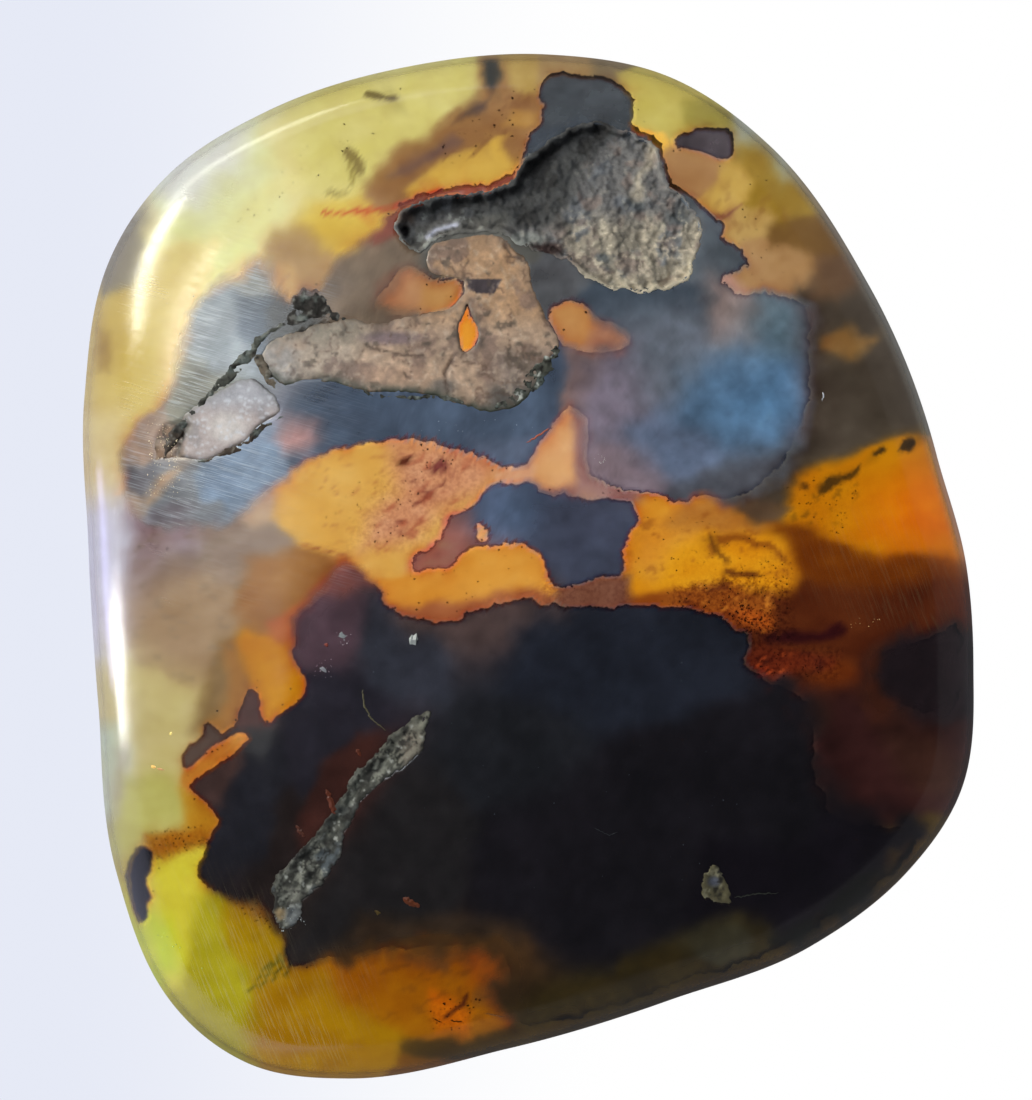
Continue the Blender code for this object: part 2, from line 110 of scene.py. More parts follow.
LOWER_DEBRIS = places("""
    -9.4,-0.2 -8.7,0 -8.2,-0.7 -7.5,-1 -7.2,-1.9 -6,-2.5 -4.2,-2.8 -2.2,-2.2 -0.6,-1.5 1.4,-1.9 5,-1.85
    8.4,-2.05 9.6,-2.4 10.5,-3.3 11,-3.8 10.7,-4.6 11.3,-5.4 12.6,-5.9 14,-7 14.2,-12 17,-13 19.7,-12.8
    18.9,-14.4 16.5,-16.5 14,-18 11,-19.5 7,-20.8 3,-22.1 0.2,-22.8 -0.9,-22 -0.8,-19.6 -1.8,-18.6
    -4.5,-18.7 -8,-19 -10.2,-19.3 -11.6,-19.9 -12.1,-19.4 -12,-18.4 -12.8,-17.2 -13.6,-16.3 -15.2,-16.2
    -16.2,-15.8 -16.5,-15.2 -16.1,-14.4 -15.8,-13.4 -15.3,-12.6 -15.7,-11.9 -16.2,-11.4 -16.75,-11.1
    -16.6,-10.75 -16.1,-10.4 -15.45,-9.85 -14.75,-9.35 -14.05,-8.8 -13.85,-8.45 -14.4,-8.3 -15.1,-8.5
    -15.7,-8.95 -16.25,-9.6 -16.85,-10.05 -17.15,-9.95 -17.15,-9.4 -16.9,-9 -16.45,-8.65 -16.1,-8.4
    -16,-7.95 -15.75,-7.65 -15.5,-7.9 -15.3,-8.35 -14.9,-8.1 -14.5,-7.9 -14.3,-7.3 -14.05,-6.4 -13.6,-6.1
    -13.3,-6.4 -13.4,-7.3 -12.95,-7.8 -12.25,-7.2 -11.1,-6.5 -10.9,-5.7 -11.8,-4.6 -11.5,-3.4 -11.3,-2.4
    -9.7,-1.2
""")
FANG_DEBRIS = places("""
    -19,-13.8 -18.6,-14.3 -18.8,-15.2 -18.8,-16.5 -19.1,-17.8 -19.5,-17.4 -19.8,-16.4 -19.9,-15.3
    -19.6,-14.2
""")
RIM_DEBRIS = places("""
    21.3,-2.8 20.4,-3.2 19.2,-3.9 17.6,-4.3 16.9,-5 17.2,-6.2 18.4,-6.9 20.2,-7.3 21.1,-7.4 21.4,-5.5
""")
CALCITE_PATCH = places("""
    -4.9,16 -3.2,16.3 -1.8,16.5 -1.1,16.2 -0.7,15.6 0.1,15.1 0.1,14.2 0.5,13.2 0.7,12.4 1.3,11.7 1.6,11
    1.1,10.2 0.5,9.2 -0.1,8.3 -0.7,7.8 -2.2,7.6 -3.6,8.1 -5,8.6 -8,8.6 -9.8,9.2 -11.2,9.1 -12,8.9 -12.9,9.5
    -13.3,10.4 -12.8,11.2 -11.4,11.6 -10.2,12 -8.8,12.3 -7.7,11.9 -6.2,12.3 -4.9,12.5 -3.7,12.8 -3.2,13.5
    -3.2,14.3 -4.5,14.3 -5.1,14.9
""")
CALCITE_TONGUE = places("""
    -13.6,9.4 -12.8,8.7 -12.2,7.9 -12.4,7.3 -13.3,6.8 -14,6 -15,5.4 -16.2,5.1 -17.8,5.3 -18.7,5 -18.7,6.4
    -18.2,7.2 -17.4,7.3 -16.6,8 -15.4,8.7 -14.4,9.3
""")
PIT_CRUST = places("""
    -6.7,16.6 -6.6,17.6 -4.6,18.4 -1.9,18.6 -0.9,19 -0.4,19.9 0.9,21 2.6,22.1 3.9,22 5,21.4 6.3,21.1 6.6,20
    6.9,18.9 8.1,18 8.7,16.6 8.2,15.2 8.1,14.2 7,13.7 4.6,13.6 3.1,14.1 2.4,14.9 1.1,15.6 -0.3,16.2
    -1.2,16.9 -3.2,16.9 -4.6,16.5 -5.5,15.3 -6.1,15.9
""")
# The same, drawn in a little where it meets the calcite
PIT_FACE = PIT_CRUST[:20] + places("""
    2.4,14.9 1.2,15.5 0.3,15.6 -0.45,15.85 -1,16.4 -1.8,16.65 -3.2,16.45 -4.7,16.15 -5.5,15.3 -6.1,15.9
""")
VEIN_CRUST = places("""
    -4.8,-6.9 -5.1,-8.2 -5.3,-9.3 -6.4,-9.9 -7.4,-10.7 -8.3,-11.6 -8.9,-12.5 -9.2,-13.3 -9.1,-14.1
    -9.8,-15.1 -10.3,-15.8 -11.3,-16.5 -11.2,-17.3 -12,-18.1 -12.7,-17.4 -12.5,-16.6 -12.6,-15.8 -12.2,-14.8
    -11.2,-14.1 -10.7,-13.3 -9.8,-12.3 -9.2,-11.5 -8.8,-10.6 -8.1,-9.7 -7.2,-9.1 -7,-8.4 -6.2,-7.8 -5.5,-7.3
""")
STONE_CHIP = places("9.2,-14.6 9.8,-15.7 10.3,-16.6 9,-16.6 8.4,-16.2 8.7,-15.4")


# Colours, numbers and noise

def code(colour):
    """'#rrggbb' to red, green and blue from 0 to 1, as a screen takes them."""
    return np.array([int(colour[i:i + 2], 16) for i in (1, 3, 5)]) / 255.0


def unsrgb(values):
    """The same as shares of linear light."""
    return np.where(values <= 0.04045, values / 12.92, ((values + 0.055) / 1.055) ** 2.4)


def linear(colour):
    return unsrgb(code(colour))


def layered(seen, *layers):
    """Colours laid over a colour in turn, each with its weight at every place."""
    for colour, weight in layers:
        weight = np.clip(weight, 0, 1)[:, None]
        seen = seen * (1 - weight) + code(colour) * weight
    return seen


def smooth(value):
    value = np.clip(value, 0.0, 1.0)
    return value * value * (3 - 2 * value)


def bell(value):
    """1 at 0, falling off on both sides."""
    return np.exp(-(value**2))


def glow(x, y, u, v, reach):
    """1 at the place u, v, falling off about it."""
    return np.exp(-(((x - u) ** 2 + (y - v) ** 2) / reach**2))


def spot(x, y, u, v, wide, high, full=1.5):
    """1 on an oval about the place u, v, 0 beside it."""
    return smooth(full - np.hypot((x - u) / wide, (y - v) / high))


def lattice(i, j, seed):
    n = (i * 374761393 + j * 668265263 + seed * 2246822519) & 0xFFFFFFFF
    n = ((n ^ (n >> 13)) * 1274126177) & 0xFFFFFFFF
    return ((n ^ (n >> 16)) & 0xFFFF) / 32767.5 - 1.0


def noise(x, y, size, seed):
    """Smooth random values between -1 and 1."""
    u = np.asarray(x) / size + 1000.0
    v = np.asarray(y) / size + 1000.0
    i = np.floor(u).astype(np.int64)
    j = np.floor(v).astype(np.int64)
    s = smooth(u - i)
    t = smooth(v - j)
    low = lattice(i, j, seed) * (1 - s) + lattice(i + 1, j, seed) * s
    high = lattice(i, j + 1, seed) * (1 - s) + lattice(i + 1, j + 1, seed) * s
    return low * (1 - t) + high * t


def cloud(x, y, size, seed, octaves=4, fade=0.55):
    """Noise of several sizes at once."""
    total = 0.0
    weight = 0.0
    for k in range(octaves):
        total = total + noise(x, y, size / 2**k, seed + 17 * k) * fade**k
        weight += fade**k
    return total / weight * 1.6


def fine_veins(x, y, size, seed, width):
    """Thin winding lines, 1 on them and 0 beside them."""
    return bell(cloud(x, y, size, seed, 4) / width)


# The pebble's surfaces

def edge_table():
    """The edge as a smooth curve through its points: angles and radii."""
    around = sorted((math.atan2(y, x) % math.tau, math.hypot(x, y)) for x, y in EDGE)
    points = ([(a - math.tau, r) for a, r in around[-2:]] + around
              + [(a + math.tau, r) for a, r in around[:2]])
    angles = np.linspace(0, math.tau, 7201)
    radii = np.zeros_like(angles)
    for (a0, r0), (a1, r1), (a2, r2), (a3, r3) in zip(points, points[1:], points[2:], points[3:]):
        here = (angles >= a1) & (angles <= a2)
        span = a2 - a1
        t = (angles[here] - a1) / span
        radii[here] = (
            (2 * t**3 - 3 * t**2 + 1) * r1 + (t**3 - 2 * t**2 + t) * (r2 - r0) / (a2 - a0) * span
            + (-2 * t**3 + 3 * t**2) * r2 + (t**3 - t**2) * (r3 - r1) / (a3 - a1) * span
        )
    return angles, radii


ANGLES, RADII = edge_table()


def edge_radius(angle):
    return np.interp(np.mod(angle, math.tau), ANGLES, RADII)


def share_of_edge(x, y):
    return np.hypot(x, y) / edge_radius(np.arctan2(y, x))


def falloff(share):
    return np.sqrt(np.clip(1.0 - share**ROUNDNESS, 0.0, None))


def unevenness(x, y, share):
    """The slight waviness of a hand-polished dome."""
    return 0.05 * cloud(x, y, 9.0, 5, 2) * (1 - share**6)


def dome_z(x, y):
    share = share_of_edge(x, y)
    return EQUATOR + DOME_RISE * falloff(share) + unevenness(x, y, share)


def underside_height(share):
    """A shallow belly that turns up towards the edge, cut by the small flat spot."""
    turn = 1 - np.sqrt(np.clip(1 - share**UNDERSIDE_EDGE, 0.0, None))
    return np.maximum(0.0, BELLY * share**2 - FLAT_CUT + (EQUATOR + FLAT_CUT - BELLY) * turn)


def underside_z(x, y):
    return underside_height(share_of_edge(x, y))


PARTING_LOW = float(underside_height(np.float64(PARTING_EDGE)))
PARTING_RISE = EQUATOR + DOME_RISE - PARTING_DEPTH - PARTING_LOW


def parting_z(x, y):
    share = np.minimum(share_of_edge(x, y) / PARTING_EDGE, 1.0)
    return PARTING_LOW + PARTING_RISE * falloff(share)


def slopes(surface, x, y):
    """How steeply a surface rises along x and along y."""
    step = 0.05
    return ((surface(x + step, y) - surface(x - step, y)) / (2 * step),
            (surface(x, y + step) - surface(x, y - step)) / (2 * step))


def sight_lean(x, y):
    """How a line of sight straight down leans inside the stone: x and y moved per mm of depth."""
    share = share_of_edge(x, y)
    shrink = np.where(share > 0.99, 0.99 / np.maximum(share, 0.01), 1.0)
    slope_x, slope_y = slopes(lambda u, v: DOME_RISE * falloff(share_of_edge(u, v)), x * shrink, y * shrink)
    slope = np.maximum(np.hypot(slope_x, slope_y), 1e-6)
    outside = np.arctan(slope)
    inside = np.arcsin(np.sin(outside) / AMBER_IOR)
    lean = np.tan(outside - inside)
    return slope_x / slope * lean, slope_y / slope * lean


def place_under_dome(x, y, surface):
    """Where a thing on an inner surface lies if it is seen at x, y from above."""
    lean_x, lean_y = sight_lean(x, y)
    top = dome_z(x, y)
    u, v = np.array(x, dtype=float), np.array(y, dtype=float)
    for _ in range(6):
        depth = np.maximum(top - surface(u, v), 0.0)
        u = x + lean_x * depth
        v = y + lean_y * depth
    return u, v


def seen_from_above(x, y, surface):
    """Where a place on an inner surface is seen from above."""
    u, v = np.array(x, dtype=float), np.array(y, dtype=float)
    for _ in range(8):
        lean_x, lean_y = sight_lean(u, v)
        depth = np.maximum(dome_z(u, v) - surface(x, y), 0.0)
        u = 0.5 * u + 0.5 * (x - lean_x * depth)
        v = 0.5 * v + 0.5 * (y - lean_y * depth)
        share = share_of_edge(u, v)
        shrink = np.where(share > 0.985, 0.985 / share, 1.0)
        u = u * shrink
        v = v * shrink
    return u, v


# Outlines

def closed(outline):
    points = np.array(outline, dtype=float)
    return points, np.roll(points, -1, axis=0)


def steps_to(x, y, start, end):
    """How far places lie from the nearest place of a straight line, along x and along y."""
    (x0, y0), (x1, y1) = start, end
    dx, dy = x1 - x0, y1 - y0
    t = np.clip(((x - x0) * dx + (y - y0) * dy) / max(dx * dx + dy * dy, 1e-12), 0, 1)
    return x - x0 - t * dx, y - y0 - t * dy


def distance_inside(x, y, outline):
    """Signed distance to an outline, positive inside it."""
    x = np.atleast_1d(np.asarray(x, dtype=float)).ravel()
    y = np.atleast_1d(np.asarray(y, dtype=float)).ravel()
    nearest = np.full(x.shape, 1e9)
    within = np.zeros(x.shape, dtype=bool)
    for start, end in zip(*closed(outline)):
        step_x, step_y = steps_to(x, y, start, end)
        nearest = np.minimum(nearest, step_x**2 + step_y**2)
        if start[1] != end[1]:
            crossing = start[0] + (y - start[1]) / (end[1] - start[1]) * (end[0] - start[0])
            within ^= ((start[1] > y) != (end[1] > y)) & (x < crossing)
    return np.where(within, 1.0, -1.0) * np.sqrt(nearest)


def distance_between(x, y, border, holes):
    """Signed distance to an outline with holes, positive in what they leave."""
    inside = distance_inside(x, y, border)
    for hole in holes:
        inside = np.minimum(inside, -distance_inside(x, y, hole))
    return inside


def distance_to_line(x, y, line):
    nearest = np.full(np.shape(x), 1e9)
    for start, end in zip(line, line[1:]):
        nearest = np.minimum(nearest, np.hypot(*steps_to(x, y, start, end)))
    return nearest


def patchy(x, y, table):
    """How strongly something shows, from rows of strength, softness and outline."""
    amount = np.zeros(len(x))
    for strength, blur, outline in table:
        part = smooth(distance_inside(x, y, outline) / blur + 0.5)
        amount = np.maximum(amount, strength * part)
    return amount


def ragged(outline, step, amount, size, seed, rounding=2, wild=0.0):
    """The outline with its corners rounded and its line broken up as in nature."""
    points, ends = closed(outline)
    for _ in range(rounding):
        points = np.stack([0.75 * points + 0.25 * ends, 0.25 * points + 0.75 * ends], 1)
        points = points.reshape(-1, 2)
        ends = np.roll(points, -1, axis=0)
    fine = []
    for a, b in zip(points, ends):
        count = max(1, int(round(np.hypot(*(b - a)) / step)))
        for k in range(count):
            fine.append(a + (b - a) * k / count)
    fine = np.array(fine)
    push_x = cloud(fine[:, 0], fine[:, 1], size, seed, 5, 0.75)
    push_y = cloud(fine[:, 0], fine[:, 1], size, seed + 301, 5, 0.75)
    amount = amount * (1 + wild * smooth((-9.0 - fine[:, 0]) / 2.0))
    fine[:, 0] += amount * push_x
    fine[:, 1] += amount * push_y
    return [tuple(p) for p in fine]


def rock_border(outline, spacing, raggedness, seed):
    return ragged(outline, spacing * 0.9, raggedness, 0.7, 300 + seed)


def band(line, widths):
    """The outline of a band along a line, with a width at each of its points."""
    line = np.array(line)
    along = np.gradient(line, axis=0)
    along /= np.hypot(along[:, 0], along[:, 1])[:, None]
    side = np.column_stack([-along[:, 1], along[:, 0]]) * np.array(widths)[:, None] / 2
    return [tuple(p) for p in np.concatenate([line + side, (line - side)[::-1]])]


# Meshes

def new_mesh(name, points, faces, look, attributes, flat=False):
    """A piece of the pebble with its colours and other values at every point."""
    mesh = bpy.data.meshes.new(name)
    mesh.from_pydata((np.asarray(points) * MM).tolist(), [], faces)
    mesh.update()
    if not flat:
        mesh.shade_smooth()
    for key, values in attributes.items():
        if values.ndim == 1:
            layer = mesh.attributes.new(key, "FLOAT", "POINT")
            layer.data.foreach_set("value", values)
        else:
            layer = mesh.attributes.new(key, "FLOAT_COLOR", "POINT")
            rgba = np.concatenate([values, np.ones((len(values), 1))], axis=1)
            layer.data.foreach_set("color", rgba.ravel())
    mesh.materials.append(look)
    piece = bpy.data.objects.new(name, mesh)
    bpy.context.scene.collection.objects.link(piece)
    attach(piece, "root")
    return piece


def sheet_points(outline, windows, spacing, seed):
    """Points and triangles of a flat sheet with windows, spaced for fine relief."""
    rng = np.random.default_rng(seed)
    flat = []
    edges = []
    for loop in [outline] + windows:
        start = len(flat)
        flat += [Vector(p) for p in loop]
        edges += [(start + i, start + (i + 1) % len(loop)) for i in range(len(loop))]
    border = np.array(outline)
    xs = np.arange(border[:, 0].min(), border[:, 0].max(), spacing)
    ys = np.arange(border[:, 1].min(), border[:, 1].max(), spacing * 0.866)
    gx, gy = np.meshgrid(xs, ys)
    gx = gx + np.where(np.arange(len(ys)) % 2, spacing / 2, 0.0)[:, None]
    gx = gx.ravel() + rng.uniform(-0.2, 0.2, gx.size) * spacing
    gy = gy.ravel() + rng.uniform(-0.2, 0.2, gy.size) * spacing
    clear = distance_between(gx, gy, outline, windows) > spacing * 0.45
    flat += [Vector((float(u), float(v))) for u, v in zip(gx[clear], gy[clear])]
    points, _, triangles, _, _, _ = delaunay_2d_cdt(flat, edges, [], 1, 1e-5, True)
    points = np.array([(p.x, p.y) for p in points])
    triangles = np.array([tuple(t) for t in triangles])
    middle = points[triangles].mean(axis=1)
    return points, triangles[distance_between(middle[:, 0], middle[:, 1], outline, windows) > 0]


def closed_sheet(points, triangles, low, high):
    """A closed solid between two heights over a flat triangulation."""
    count = len(points)
    vertices = np.concatenate([np.column_stack([points, high]), np.column_stack([points, low])])
    faces = [tuple(t) for t in triangles.tolist()]
    faces += [(c + count, b + count, a + count) for a, b, c in triangles.tolist()]
    directed = set()
    for a, b, c in triangles.tolist():
        directed.update(((a, b), (b, c), (c, a)))
    for a, b in directed:
        if (b, a) not in directed:
            faces.append((b, a, a + count))
            faces.append((b, a + count, b + count))
    return vertices, faces


